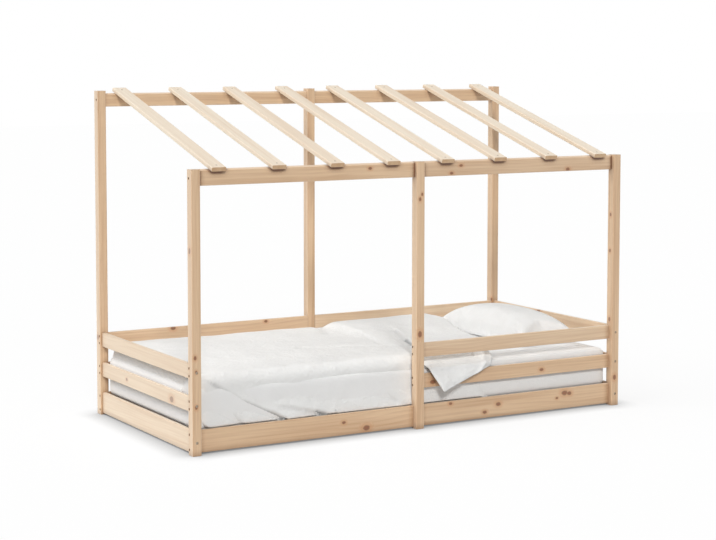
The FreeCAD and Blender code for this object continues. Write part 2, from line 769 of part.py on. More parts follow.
def duvetSection(x, crown, sway):
    """Across the bed: flat underneath, crowned on top, turned down over the front edge.
    crown is the thickness in the middle and sway how far the hanging part stands off."""
    under = mattressTop + dim("seatGap")
    inner = mattressFront - dim("duvetDropClearance")
    outer = inner - dim("duvetDropThickness") - sway
    low = bottomLevel + dim("bottomRailHeight") + dim("seatGap")
    back = mattressBack - dim("duvetBackMargin")
    bend = dim("mattressEdge")
    shoulder = outer + 1.6 * dim("duvetThickness")
    topFront = under + shoulderFullness * crown
    p1 = point(x, back, under)
    p2 = point(x, back, under + backFullness * crown)
    p3 = point(x, shoulder, topFront)
    p4 = point(x, outer, under - 0.8 * crown)
    p5 = point(x, inner - dim("duvetDropThickness") - 0.5 * sway, low)
    p6 = point(x, inner, low)
    p7 = point(x, inner, under - bend)
    p8 = point(x, inner + bend, under)
    edges = [
        line(p1, p2),
        arc(p2, point(x, (back + shoulder) / 2 + 40, under + crown), p3),
        arc(p3, point(x, outer + 0.38 * dim("duvetThickness"), under + 0.28 * crown), p4),
        arc(p4, point(x, outer + 0.1 * sway, (p4.z + low) / 2), p5) if sway > 0.5 else line(p4, p5),
        line(p5, p6),
        line(p6, p7),
        line(p7, p8),
        line(p8, p1),
    ]
    return Part.Wire(edges)


def duvetTopSection(x, frontY, crown):
    """The part that lies on top only, towards the pillow."""
    under = mattressTop + dim("seatGap")
    back = mattressBack - dim("duvetBackMargin")
    p1 = point(x, back, under)
    p2 = point(x, back, under + backFullness * crown)
    p3 = point(x, frontY + 0.5 * crown, under + 0.8 * crown)
    p4 = point(x, frontY, under)
    edges = [
        line(p1, p2),
        arc(p2, point(x, (back + frontY) / 2, under + crown), p3),
        arc(p3, point(x, frontY + 0.1 * crown, under + 0.5 * crown), p4),
        line(p4, p1),
    ]
    return Part.Wire(edges)


def makeDuvet():
    foot = -mattressEnd + dim("duvetFootMargin")
    topEnd = pillowCentre - dim("pillowWidth") / 2 - dim("duvetPillowGap")
    sideEnd = topEnd - dim("duvetSideSetBack")
    full = dim("duvetThickness")
    # share of the length, share of the thickness, stand-off of the fold in the hanging part
    folds = [(0.0, 0.45, 2), (0.05, 0.92, 6), (0.2, 1.0, 14), (0.36, 0.9, 8), (0.52, 1.05, 14),
             (0.65, 0.95, 7), (0.72, 1.0, 3.5), (0.77, headRise, 3), (0.87, headRise, 4), (1.0, headRise, 2)]
    sections = [
        duvetSection(foot + share * (sideEnd - foot), crown * full, sway)
        for share, crown, sway in folds
    ]
    body = Part.makeLoft(sections, True, False)
    frontStart = mattressFront + dim("duvetTuck")
    cutBack = dim("duvetHeadCutBack")
    headSections = [
        duvetTopSection(sideEnd - 6, frontStart, headRise * full),
        duvetTopSection((sideEnd + topEnd) / 2, frontStart + 0.45 * cutBack, headRise * full),
        duvetTopSection(topEnd - 18, frontStart + 0.95 * cutBack, headRise * full),
        duvetTopSection(topEnd, frontStart + cutBack, 0.6 * full),
    ]
    head = Part.makeLoft(headSections, True, False)
    duvet = body.fuse([head, *makeFlap()]).removeSplitter()
    feature = doc.addObject("Part::Feature", "duvet")
    feature.Label = "duvet"
    feature.Shape = duvet
    return keep(feature)


def makeFlap():
    """The corner that comes out under the upper guard rail and hangs over the middle one."""
    guardFace = -halfDepth + dim("railRecess")
    guardTop = middleLevel + dim("boardHeight")
    thickness = dim("flapThickness")
    back = guardFace - dim("seatGap")
    front = back - thickness
    low = guardTop + dim("seatGap")
    high = low + dim("flapNeckHeight")
    x0 = dim("flapStart")
    x1 = x0 + dim("flapLength")
    neck = Part.makeBox(x1 - x0, mattressFront - front, high - low, point(x0, front, low))
    tipX = x0 + 0.22 * dim("flapLength")
    tipZ = guardTop - dim("flapDrop")
    outline = [point(x0, front, high), point(x1, front, high), point(x1, front, low - 4),
               point(tipX + 18, front, tipZ), point(tipX - 12, front, tipZ + 4), point(x0, front, low - 6)]
    face = Part.Face(Part.makePolygon(outline + [outline[0]]))
    hanging = face.extrude(FreeCAD.Vector(0, thickness, 0))
    return neck, hanging


def pillowSection(y, halfWidth, height):
    """A cushion's section: flat where it lies, full in the middle, drawn in at its seam."""
    x = pillowCentre
    floor = mattressTop + dim("seatGap")
    seam = floor + 0.36 * height
    right = point(x + halfWidth, y, seam)
    left = point(x - halfWidth, y, seam)
    flatRight = point(x + 0.72 * halfWidth, y, floor)
    flatLeft = point(x - 0.72 * halfWidth, y, floor)
    edges = [
        line(flatLeft, flatRight),
        arc(flatRight, point(x + 0.9 * halfWidth, y, floor + 0.1 * height), right),
        arc(right, point(x + 0.05 * halfWidth, y, floor + height), left),
        arc(left, point(x - 0.9 * halfWidth, y, floor + 0.1 * height), flatLeft),
    ]
    return Part.Wire(edges)


def makePillow():
    back = mattressBack - dim("pillowBackMargin")
    # share of the length, share of the width, share of the height
    shares = [(0.0, 0.93, 0.16), (0.06, 0.97, 0.5), (0.22, 0.95, 0.86), (0.5, 0.93, 1.0),
              (0.78, 0.95, 0.86), (0.94, 0.97, 0.5), (1.0, 0.93, 0.16)]
    sections = [
        pillowSection(back - along * dim("pillowLength"), wide * dim("pillowWidth") / 2,
                      tall * dim("pillowHeight"))
        for along, wide, tall in shares
    ]
    pillow = doc.addObject("Part::Feature", "pillow")
    pillow.Label = "pillow"
    pillow.Shape = Part.makeLoft(sections, True, False)
    return keep(pillow)


makeMattress()
makeDuvet()
makePillow()

# ---------------------------------------------------------------- checks and export
doc.recompute()
for item in doc.Objects:
    if "Invalid" in item.State or "Error" in item.State:
        raise RuntimeError(f"{item.Name} failed: {item.State}")
for piece in subParts:
    if piece.Shape.isNull() or not piece.Shape.isValid():
        raise RuntimeError(f"{piece.Label} has no valid shape")
for piece in subParts:
    piece.Shape.exportStep(f"parts/{piece.Label}.step")
print(len(subParts), "sub-parts")
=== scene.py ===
import math

import bmesh
import bpy
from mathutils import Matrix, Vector, noise


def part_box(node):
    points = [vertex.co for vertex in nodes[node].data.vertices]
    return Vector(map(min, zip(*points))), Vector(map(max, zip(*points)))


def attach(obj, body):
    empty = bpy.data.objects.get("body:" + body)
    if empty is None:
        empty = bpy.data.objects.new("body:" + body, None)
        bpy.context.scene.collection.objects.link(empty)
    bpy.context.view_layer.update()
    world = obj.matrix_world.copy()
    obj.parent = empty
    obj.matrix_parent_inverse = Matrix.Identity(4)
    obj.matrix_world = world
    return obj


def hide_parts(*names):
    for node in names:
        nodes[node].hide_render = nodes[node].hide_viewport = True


# A pine house frame bed with a made-up mattress, on a white studio floor. Metres.

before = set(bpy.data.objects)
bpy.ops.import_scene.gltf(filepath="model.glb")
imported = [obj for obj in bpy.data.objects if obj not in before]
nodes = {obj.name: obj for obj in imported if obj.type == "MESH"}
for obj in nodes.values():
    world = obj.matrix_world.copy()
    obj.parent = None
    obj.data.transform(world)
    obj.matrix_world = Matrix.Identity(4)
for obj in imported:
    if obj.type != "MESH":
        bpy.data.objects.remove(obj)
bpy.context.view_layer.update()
bpy.ops.object.select_all(action="DESELECT")
print("frame loaded,", len(nodes), "nodes")

# node helpers


def feed(tree, socket, value):
    if isinstance(value, bpy.types.NodeSocket):
        tree.links.new(value, socket)
    else:
        socket.default_value = value


def maths(tree, operation, a, b=0.0, clamp=False):
    node = tree.nodes.new("ShaderNodeMath")
    node.operation = operation
    node.use_clamp = clamp
    feed(tree, node.inputs[0], a)
    feed(tree, node.inputs[1], b)
    return node.outputs[0]


def times(tree, a, b):
    return maths(tree, "MULTIPLY", a, b)


def total(tree, *values):
    result = values[0]
    for value in values[1:]:
        result = maths(tree, "ADD", result, value)
    return result


def vectors(tree, operation, a, b=(0, 0, 0)):
    node = tree.nodes.new("ShaderNodeVectorMath")
    node.operation = operation
    feed(tree, node.inputs[0], a)
    feed(tree, node.inputs[1], b)
    return node.outputs["Value" if operation == "LENGTH" else "Vector"]


def turned(tree, vector, turns):
    node = tree.nodes.new("ShaderNodeMapping")
    node.inputs["Rotation"].default_value = [math.radians(angle) for angle in turns]
    tree.links.new(vector, node.inputs["Vector"])
    return node.outputs[0]


def shifted(tree, place, seed, shift):  # the same pattern, further on for each seed
    move = vectors(tree, "SCALE", shift)
    tree.links.new(seed, move.node.inputs["Scale"])
    return vectors(tree, "ADD", place, move)


def ramp(tree, value, low, high, outLow=0.0, outHigh=1.0):
    node = tree.nodes.new("ShaderNodeMapRange")
    node.interpolation_type = "SMOOTHSTEP"
    entries = {"Value": value, "From Min": low, "From Max": high, "To Min": outLow, "To Max": outHigh}
    for label, entry in entries.items():
        feed(tree, node.inputs[label], entry)
    return node.outputs["Result"]


def clouds(tree, place, scale, detail=2.0, roughness=0.5):
    node = tree.nodes.new("ShaderNodeTexNoise")
    feed(tree, node.inputs["Vector"], place)
    node.inputs["Scale"].default_value = scale
    node.inputs["Detail"].default_value = detail
    node.inputs["Roughness"].default_value = roughness
    return node.outputs[0]


def stretchedClouds(tree, place, stretch, detail=2.0, roughness=0.5):
    return clouds(tree, vectors(tree, "MULTIPLY", place, stretch), 1.0, detail, roughness)


def tint(tree, share, a, b, mode="MIX"):
    node = tree.nodes.new("ShaderNodeMix")
    node.data_type = "RGBA"
    node.blend_type = mode
    feed(tree, node.inputs[0], share)
    feed(tree, node.inputs[6], a)
    feed(tree, node.inputs[7], b)
    return node.outputs[2]


def newGroup(name, inputs, outputs):
    tree = bpy.data.node_groups.new(name, "ShaderNodeTree")
    kinds = {"vector": "NodeSocketVector", "value": "NodeSocketFloat", "colour": "NodeSocketColor"}
    for label, kind in inputs:
        tree.interface.new_socket(name=label, in_out="INPUT", socket_type=kinds[kind])
    for label, kind in outputs:
        tree.interface.new_socket(name=label, in_out="OUTPUT", socket_type=kinds[kind])
    start = tree.nodes.new("NodeGroupInput")
    end = tree.nodes.new("NodeGroupOutput")
    return tree, start.outputs, end.inputs


def useGroup(tree, group, **values):
    node = tree.nodes.new("ShaderNodeGroup")
    node.node_tree = group
    for label, value in values.items():
        feed(tree, node.inputs[label], value)
    return node.outputs


def newMaterial(name):
    material = bpy.data.materials.new(name)
    material.use_nodes = True
    return material, material.node_tree, material.node_tree.nodes["Principled BSDF"]


def setPlain(shader, values):
    for label, value in values.items():
        shader.inputs[label].default_value = value


def addBump(tree, shader, height, strength, depth):
    bump = tree.nodes.new("ShaderNodeBump")
    bump.inputs["Strength"].default_value = strength
    bump.inputs["Distance"].default_value = depth
    feed(tree, bump.inputs["Height"], height)
    tree.links.new(bump.outputs[0], shader.inputs["Normal"])


def mixShaders(tree, share, first, second):
    node = tree.nodes.new("ShaderNodeMixShader")
    feed(tree, node.inputs[0], share)
    tree.links.new(first, node.inputs[1])
    tree.links.new(second, node.inputs[2])
    return node.outputs[0]


def seenPlainly(tree):  # 1 for what the camera, a mirror or glass shows
    path = tree.nodes.new("ShaderNodeLightPath")
    seen = path.outputs["Is Camera Ray"]
    for ray in ("Is Glossy Ray", "Is Transmission Ray"):
        seen = maths(tree, "MAXIMUM", seen, path.outputs[ray])
    return seen


nookSamples = 10


# a mask for painted shade, taken from an ambient occlusion node
def closeness(tree, reach, power, ownOnly=False):  # 0 in the open, towards 1 in a narrow gap
    node = tree.nodes.new("ShaderNodeAmbientOcclusion")
    node.samples = nookSamples
    node.only_local = ownOnly
    node.inputs["Distance"].default_value = reach
    openness = maths(tree, "POWER", node.outputs["AO"], power)
    return maths(tree, "SUBTRACT", 1.0, openness, clamp=True)


# camera, lights and floor

cameraSettings = {
    "place": (-3.9279, -6.7016, 1.5588),
    "turnLeft": -29.8609,
    "tilt": -4.3684,
    "lens": 89.80,
    "shiftX": 0.0182,
    "shiftY": -0.1117,
    "sees": 100,
}
lampSettings = {
    "sideLamp": {"towards": (-0.62, 0.10, 0.78), "strength": 1.85, "size": 45, "colour": (0.98, 0.99, 1.0)},
    "frontLamp": {"towards": (-0.30, -0.76, 0.52), "strength": 1.30, "size": 12, "colour": (1.0, 1.0, 0.99)},
}
skySettings = {"strength": 0.27, "colour": (1, 1, 1, 1), "backdrop": (1, 1, 1, 1)}
floorSettings = {
    "size": 60,
    "level": -0.0005,
    "bounce": 0.55,
    "ownWhite": 0.86,
    "contactReach": 0.11,
    "contactSamples": 12,
}


def makeCamera():
    camera = bpy.data.objects.new("camera", bpy.data.cameras.new("camera"))
    bpy.context.scene.collection.objects.link(camera)
    camera.location = cameraSettings["place"]
    tilt = math.radians(90 + cameraSettings["tilt"])
    camera.rotation_euler = (tilt, 0, math.radians(cameraSettings["turnLeft"]))
    camera.data.lens = cameraSettings["lens"]
    camera.data.shift_x = cameraSettings["shiftX"]
    camera.data.shift_y = cameraSettings["shiftY"]
    camera.data.clip_end = cameraSettings["sees"]
    bpy.context.scene.camera = camera


def makeWorld():
    world = bpy.data.worlds.new("studio")
    bpy.context.scene.world = world
    world.use_nodes = True
    tree = world.node_tree
    sky = tree.nodes["Background"]
    setPlain(sky, {"Color": skySettings["colour"], "Strength": skySettings["strength"]})
    backdrop = tree.nodes.new("ShaderNodeBackground")
    setPlain(backdrop, {"Color": skySettings["backdrop"]})
    shown = mixShaders(tree, seenPlainly(tree), sky.outputs[0], backdrop.outputs[0])
    tree.links.new(shown, tree.nodes["World Output"].inputs["Surface"])


def makeLamp(name, settings):
    lamp = bpy.data.objects.new(name, bpy.data.lights.new(name, "SUN"))
    bpy.context.scene.collection.objects.link(lamp)
    lamp.rotation_euler = Vector(settings["towards"]).to_track_quat("Z", "Y").to_euler()
    lamp.data.energy = settings["strength"]
    lamp.data.angle = math.radians(settings["size"])
    lamp.data.color = settings["colour"]


def makeFloor():
    s = floorSettings
    bpy.ops.mesh.primitive_plane_add(size=s["size"], location=(0, 0, s["level"]))
    floor = bpy.context.object
    floor.name = "floor"
    bpy.ops.object.transform_apply(location=True, rotation=False, scale=True)
    material, tree, paint = newMaterial("paleFloor")
    # the paint is what the bed gets back from the floor
    setPlain(paint, {"Base Color": [s["bounce"]] * 3 + [1], "Specular IOR Level": 0})
    lit = tree.nodes.new("ShaderNodeBsdfDiffuse")
    setPlain(lit, {"Color": (1, 1, 1, 1)})
    # the camera sees mostly white emission with painted contact shade near the bed, plus a share of lit
    # diffuse
    contactShade = tree.nodes.new("ShaderNodeAmbientOcclusion")
    contactShade.samples = s["contactSamples"]
    setPlain(contactShade, {"Distance": s["contactReach"]})
    white = tree.nodes.new("ShaderNodeEmission")
    tree.links.new(contactShade.outputs["Color"], white.inputs["Color"])
    shown = mixShaders(tree, s["ownWhite"], lit.outputs[0], white.outputs[0])
    surface = mixShaders(tree, seenPlainly(tree), paint.outputs[0], shown)
    tree.links.new(surface, tree.nodes["Material Output"].inputs["Surface"])
    floor.data.materials.append(material)


makeCamera()
makeWorld()
for name, settings in lampSettings.items():
    makeLamp(name, settings)
makeFloor()
bpy.context.scene.view_settings.view_transform = "Standard"
print("camera, lights and floor")

# pine

grainSettings = {
    "seedShift": (3.7, 1.9, 2.3),
    "slant": (0.006, 0.34, 0.30),  # how fast the growth rings are crossed along x, y and z
    "swayStretch": (0.9, 6, 6),
    "sway": 0.045,
    "ringWidth": 0.0045,
    "lateGrowth": 3.0,
    "lateEnd": (0.93, 1.0),
    "strengthStretch": (0.8, 9, 9),
    "strengthRange": (0.35, 0.7),
    "strength": (0.25, 0.85),
    "lateShade": 0.55,
    "lateHeight": 0.6,
    "fibreHeight": 0.5,
    "roughness": 0.42,
    "streakRoughness": 0.16,
}
# each pattern along the grain: its stretch, its noise's detail and roughness, the range of the noise
# that counts and what it adds to the dark share there
grainPatterns = {
    "streaks": {"stretch": (2.2, 110, 110), "grain": (3.0, 0.6), "range": (0.3, 0.75), "adds": (-0.04, 0.30)},
    "patches": {"stretch": (1.7, 16, 16), "grain": (2.0, 0.5), "range": (0.3, 0.75), "adds": (-0.10, 0.26)},
    "bands": {"stretch": (0.9, 42, 42), "grain": (2.0, 0.55), "range": (0.35, 0.72), "adds": (-0.10, 0.36)},
    "fibres": {"stretch": (22, 1500, 1500), "grain": (2.0, 0.5), "range": (0.3, 0.8), "adds": (-0.04, 0.07)},
}
knotSettings = {
    "ragged": {"scale": 160, "detail": 3.0, "roughness": 0.65},
    "raggedBy": 0.7,
    "core": (1.05, 0.7),
    "ringSharpness": 3.2,
    "halo": (3.4, 0.8),
    "grainBend": 0.011,
}
straySettings = {
    "seedShift": (5.1, 2.3, 7.7),
    "stretch": (5.5, 10, 10),
    "chosenAbove": 0.86,
    "raggedScale": 150,
    "raggedBy": 0.03,
    "core": (0.09, 0.06),
    "halo": (0.22, 0.07),
}


def makeGrainGroup():
    s = grainSettings
    tree, given, result = newGroup(
        "pineGrain",
        [("Place", "vector"), ("Seed", "value"), ("Bend", "value"), ("Light", "colour"), ("Dark", "colour")],
        [("Colour", "colour"), ("Height", "value"), ("Roughness", "value")],
    )
    place = shifted(tree, given["Place"], given["Seed"], s["seedShift"])
    apart = tree.nodes.new("ShaderNodeSeparateXYZ")
    tree.links.new(place, apart.inputs[0])
    crossed = [times(tree, apart.outputs[axis], s["slant"][axis]) for axis in (1, 2, 0)]
    sway = times(tree, stretchedClouds(tree, place, s["swayStretch"]), s["sway"])
    across = total(tree, *crossed, sway, given["Bend"])
    year = maths(tree, "FRACT", maths(tree, "DIVIDE", across, s["ringWidth"]))
    late = times(tree, maths(tree, "POWER", year, s["lateGrowth"]), ramp(tree, year, *s["lateEnd"], 1.0, 0.0))
    strength = stretchedClouds(tree, place, s["strengthStretch"])
    late = times(tree, late, ramp(tree, strength, *s["strengthRange"], *s["strength"]))
    shade = times(tree, late, s["lateShade"])
    patterns = {}
    for label, p in grainPatterns.items():
        patterns[label] = stretchedClouds(tree, place, p["stretch"], *p["grain"])
        shade = total(tree, shade, ramp(tree, patterns[label], *p["range"], *p["adds"]))
    shade = maths(tree, "ADD", shade, 0.0, clamp=True)
    tree.links.new(tint(tree, shade, given["Light"], given["Dark"]), result["Colour"])
    fibreHeight = times(tree, patterns["fibres"], s["fibreHeight"])
    tree.links.new(total(tree, times(tree, late, s["lateHeight"]), fibreHeight), result["Height"])
    roughness = total(tree, times(tree, patterns["streaks"], s["streakRoughness"]), s["roughness"])
    tree.links.new(roughness, result["Roughness"])
    return tree


def makeKnotGroup():
    s = knotSettings
    tree, given, result = newGroup(
        "pineKnot",
        [("Place", "vector"), ("Centre", "vector"), ("Size", "vector")],
        [("Core", "value"), ("Ring", "value"), ("Halo", "value"), ("Bend", "value")],
    )
    away = vectors(tree, "SUBTRACT", given["Place"], given["Centre"])
    distance = vectors(tree, "LENGTH", vectors(tree, "DIVIDE", away, given["Size"]))
    ragged = maths(tree, "SUBTRACT", clouds(tree, given["Place"], **s["ragged"]), 0.5)
    distance = total(tree, distance, times(tree, ragged, s["raggedBy"]))
    tree.links.new(ramp(tree, distance, *s["core"]), result["Core"])
    offRing = maths(tree, "ABSOLUTE", maths(tree, "SUBTRACT", distance, 1.0))
    ring = maths(tree, "SUBTRACT", 1.0, times(tree, offRing, s["ringSharpness"]), clamp=True)
    tree.links.new(ring, result["Ring"])
    halo = ramp(tree, distance, *s["halo"])
    tree.links.new(halo, result["Halo"])
    tree.links.new(times(tree, halo, s["grainBend"]), result["Bend"])
    return tree


def makeStrayGroup():
    s = straySettings
    tree, given, result = newGroup(
        "strayKnots",
        [("Place", "vector"), ("Seed", "value")],
        [("Core", "value"), ("Halo", "value")],
    )
    stretched = vectors(tree, "MULTIPLY", given["Place"], s["stretch"])
    cells = tree.nodes.new("ShaderNodeTexVoronoi")
    cells.inputs["Scale"].default_value = 1.0
    tree.links.new(shifted(tree, stretched, given["Seed"], s["seedShift"]), cells.inputs["Vector"])
    apart = tree.nodes.new("ShaderNodeSeparateColor")
    tree.links.new(cells.outputs["Color"], apart.inputs[0])
    chosen = maths(tree, "GREATER_THAN", apart.outputs[0], s["chosenAbove"])
    ragged = times(tree, clouds(tree, given["Place"], s["raggedScale"]), s["raggedBy"])
    distance = total(tree, cells.outputs["Distance"], ragged)
    tree.links.new(times(tree, ramp(tree, distance, *s["core"]), chosen), result["Core"])
    tree.links.new(times(tree, ramp(tree, distance, *s["halo"]), chosen), result["Halo"])
    return tree


grainGroup = makeGrainGroup()
knotGroup = makeKnotGroup()
strayGroup = makeStrayGroup()

roofPitch = 16.45
grainTurns = {
    "lengthwise": (0, 0, 0),
    "upright": (0, 90, 0),
    "crosswise": (0, 0, -90),
    "sloping": (-roofPitch, 0, -90),
}
knotStretch = {
    "lengthwise": (1.5, 2.5, 1.0),
    "upright": (1.0, 1.0, 1.4),
    "crosswise": (2.5, 1.5, 1.0),
    "sloping": (1.0, 1.6, 2.0),
}
pineColours = {
    "light": (0.85, 0.60, 0.38, 1),
    "dark": (0.62, 0.37, 0.20, 1),
    "paleLight": (0.93, 0.80, 0.63, 1),
    "paleDark": (0.78, 0.58, 0.39, 1),
    "halo": (0.66, 0.29, 0.11, 1),
    "redKnot": (0.24, 0.065, 0.015, 1),
    "ring": (0.11, 0.035, 0.012, 1),
    "endGrain": (0.78, 0.62, 0.46, 1),
    "nookShade": (0.30, 0.18, 0.11, 1),
    "slatShade": (0.40, 0.26, 0.17, 1),
}
# how strongly each part of a knot stains the wood, and with which colour
strayStains = [("Halo", 0.4, "halo"), ("Core", 0.75, "redKnot")]
knotStains = [("Halo", 0.52, "halo"), ("Core", 0.85, "redKnot"), ("Ring", 0.7, "ring")]
pineFinish = {
    "plain": {
        "Coat Weight": 0.6,
        "Coat Roughness": 0.32,
        "Sheen Weight": 0.9,
        "Sheen Roughness": 0.45,
        "Sheen Tint": (1.0, 0.96, 0.84, 1),
    },
    "bump": 0.25,
    "bumpDepth": 0.0004,
    "sawnEnd": (0.75, 0.95),
    "nookReach": 0.030,
    "nookPower": 1.1,
}
# painted shadow on the front top rails, under the roof slats' ends
slatShade = {"reach": 0.022, "power": 1.0, "range": (0.10, 0.24)}  # on a rail, just under a slat's end


def placeKnots(tree, where, settings):
    masks = {"Core": 0.0, "Ring": 0.0, "Halo": 0.0, "Bend": 0.0}
    for x, y, z, size in settings.get("knots", []):
        stretched = [size * share for share in knotStretch[settings["grain"]]]
        knot = useGroup(tree, knotGroup, Place=where, Centre=(x, y, z), Size=stretched)
        for mask in ("Core", "Ring", "Halo"):
            masks[mask] = maths(tree, "MAXIMUM", masks[mask], knot[mask])
        masks["Bend"] = total(tree, masks["Bend"], knot["Bend"])
    return masks


def stain(tree, colour, masks, stains):
    for mask, strength, paint in stains:
        colour = tint(tree, times(tree, masks[mask], strength), colour, pineColours[paint])
    return colour


def toned(settings, plain, pale):  # a colour of the grain, paler where the piece is
    tone, share = settings.get("tone", 1.0), settings.get("pale", 0.0)
    return [tone * (a + (b - a) * share) for a, b in zip(pineColours[plain][:3], pineColours[pale])] + [1]


def makePine(name, settings):
    material, tree, wood = newMaterial("pine_" + name)
    coordinates = tree.nodes.new("ShaderNodeTexCoord").outputs
    turns = grainTurns[settings["grain"]]
    alongGrain = turned(tree, coordinates["Object"], turns)
    knots = placeKnots(tree, coordinates["Object"], settings)
    light, dark = toned(settings, "light", "paleLight"), toned(settings, "dark", "paleDark")
    grain = useGroup(
        tree, grainGroup, Place=alongGrain, Seed=settings["seed"], Bend=knots["Bend"], Light=light, Dark=dark)
    colour = grain["Colour"]
    if settings.get("stray", True):
        stray = useGroup(tree, strayGroup, Place=alongGrain, Seed=settings["seed"])
        colour = stain(tree, colour, stray, strayStains)
    if "knots" in settings:
        colour = stain(tree, colour, knots, knotStains)
    facing = tree.nodes.new("ShaderNodeSeparateXYZ")
    tree.links.new(turned(tree, coordinates["Normal"], turns), facing.inputs[0])
    sawnEnd = ramp(tree, maths(tree, "ABSOLUTE", facing.outputs[0]), *pineFinish["sawnEnd"])
    colour = tint(tree, sawnEnd, colour, pineColours["endGrain"], "MULTIPLY")
    # painted shade: the wood is darker in corners and narrow gaps between parts
    nookShade = closeness(tree, pineFinish["nookReach"], settings.get("nookShade", pineFinish["nookPower"]))
    colour = tint(tree, nookShade, colour, pineColours["nookShade"], "MULTIPLY")
    # painted shadow under each roof slat's end
    if settings.get("slatShade"):
        under = ramp(tree, closeness(tree, slatShade["reach"], slatShade["power"]), *slatShade["range"])
        colour = tint(tree, under, colour, pineColours["slatShade"], "MULTIPLY")
    feed(tree, wood.inputs["Base Color"], colour)
    feed(tree, wood.inputs["Roughness"], grain["Roughness"])
    setPlain(wood, pineFinish["plain"])
    addBump(tree, wood, grain["Height"], pineFinish["bump"], pineFinish["bumpDepth"])
    return material


# each knot as its place and size
woodPieces = {
    "post_front_left": {"grain": "upright", "seed": 1.0, "stray": False, "knots": [
        (-1.041, -0.470, 0.80, 0.007), (-1.029, -0.49, 0.385, 0.005),
        (-1.025, -0.49, 0.33, 0.004), (-1.025, -0.49, 0.191, 0.005)]},
    "post_front_middle": {"grain": "upright", "seed": 2.0, "stray": False, "knots": [
        (-0.003, -0.49, 0.398, 0.008), (-0.004, -0.49, 0.96, 0.005), (0.006, -0.49, 0.98, 0.004)]},
    "post_front_right": {"grain": "upright", "seed": 3.0, "stray": False, "knots": [
        (1.019, -0.49, 0.125, 0.007), (1.003, -0.469, 0.383, 0.006),
        (1.003, -0.470, 0.85, 0.005), (1.003, -0.468, 0.69, 0.005)]},
    "post_back_left": {"grain": "upright", "seed": 4.0, "stray": False, "knots": [
        (-1.041, 0.474, 0.335, 0.007)]},
    "post_back_middle": {"grain": "upright", "seed": 5.0, "stray": False},
    "post_back_right": {"grain": "upright", "seed": 6.0, "stray": False, "knots": [
        (1.003, 0.452, 0.362, 0.005)]},
    "top_rail_front_left": {
        "grain": "lengthwise", "seed": 7.0, "stray": False, "nookShade": 2.0, "slatShade": True,
        "knots": [(-0.235, -0.475, 1.094, 0.005)]},
    "top_rail_front_right": {
        "grain": "lengthwise", "seed": 8.0, "stray": False, "pale": 0.15, "nookShade": 2.0, "slatShade": True,
        "knots": [
            (0.207, -0.475, 1.092, 0.005), (0.16, -0.475, 1.061, 0.005), (0.762, -0.475, 1.059, 0.006)]},
    "top_rail_back_left": {"grain": "lengthwise", "seed": 9.0},
    "top_rail_back_right": {"grain": "lengthwise", "seed": 10.0},
    "front_bottom_rail_left": {"grain": "lengthwise", "seed": 11.0, "stray": False, "tone": 1.02, "knots": [
        (-0.353, -0.466, 0.059, 0.005), (-0.246, -0.466, 0.026, 0.009)]},
    "front_bottom_rail_right": {"grain": "lengthwise", "seed": 12.0, "stray": False, "knots": [
        (0.763, -0.466, 0.075, 0.009), (0.788, -0.466, 0.071, 0.007), (0.721, -0.466, 0.056, 0.004),
        (0.41, -0.466, 0.060, 0.007), (0.34, -0.466, 0.032, 0.006), (0.166, -0.466, 0.086, 0.005)]},
    "guard_rail_middle": {"grain": "lengthwise", "seed": 13.0, "stray": False, "knots": [
        (0.077, -0.466, 0.187, 0.008), (0.637, -0.466, 0.189, 0.006)]},
    "guard_rail_top": {"grain": "lengthwise", "seed": 14.0, "stray": False, "pale": 0.25},
    "back_board_bottom_left": {"grain": "lengthwise", "seed": 15.0},
    "back_board_bottom_right": {"grain": "lengthwise", "seed": 16.0},
    "back_board_middle_left": {"grain": "lengthwise", "seed": 17.0},
    "back_board_middle_right": {"grain": "lengthwise", "seed": 18.0},
    "back_board_top_left": {
        "grain": "lengthwise", "seed": 19.0, "stray": False, "tone": 1.06, "pale": 0.2,
        "knots": [(-0.696, 0.45, 0.351, 0.007), (-0.236, 0.45, 0.347, 0.005)]},
    "back_board_top_right": {"grain": "lengthwise", "seed": 20.0, "stray": False, "tone": 1.08, "pale": 0.45},
    "foot_end_board_bottom": {"grain": "crosswise", "seed": 21.0, "stray": False, "tone": 1.04, "pale": 0.45},
    "foot_end_board_middle": {
        "grain": "crosswise", "seed": 22.0, "stray": False, "tone": 1.03, "pale": 0.4,
        "knots": [(-1.031, 0.184, 0.195, 0.005), (-1.031, -0.271, 0.188, 0.010)]},
    "foot_end_board_top": {"grain": "crosswise", "seed": 23.0, "stray": False, "pale": 0.3},
    "head_end_board_bottom": {"grain": "crosswise", "seed": 24.0},
    "head_end_board_middle": {"grain": "crosswise", "seed": 25.0},
    "head_end_board_top": {
        "grain": "crosswise", "seed": 26.0, "stray": False, "tone": 1.04, "pale": 0.3,
        "knots": [(1.014, 0.077, 0.351, 0.007)]},
}
for number in range(1, 9):
    woodPieces[f"roof_slat_{number}"] = {
        "grain": "sloping", "seed": 30.0 + 1.3 * number, "stray": False, "pale": 0.75 + 0.08 * (number % 3)}
for number in range(1, 14):
    woodPieces[f"base_slat_{number:02d}"] = {"grain": "crosswise", "seed": 50.0 + 1.7 * number, "tone": 0.93}
for number, name in enumerate(("front_left", "front_right", "back_left", "back_right")):
    woodPieces["ledger_" + name] = {"grain": "lengthwise", "seed": 80.0 + number, "tone": 0.92}


def dress(name, material):
    mesh = nodes[name].data
    mesh.materials.clear()
    mesh.materials.append(material)


for name, settings in woodPieces.items():
    dress(name, makePine(name, settings))
print("pine on", len(woodPieces), "pieces")

# steel and webbing

steelSettings = {
    "colour": (0.48, 0.41, 0.32, 1),
    "shade": (0.38, 0.32, 0.25, 1),
    "spangleScale": 900,
    "spangleRange": (0.3, 0.7),
    "roughness": (0.3, 0.48),
    "metallic": 1.0,
}
webbingSettings = {
    "light": (0.62, 0.61, 0.57, 1),
    "dark": (0.40, 0.39, 0.36, 1),
    "ribs": {"Scale": 100, "Distortion": 1.5},
    "ribDepth": 0.0005,
    "roughness": 0.8,
}


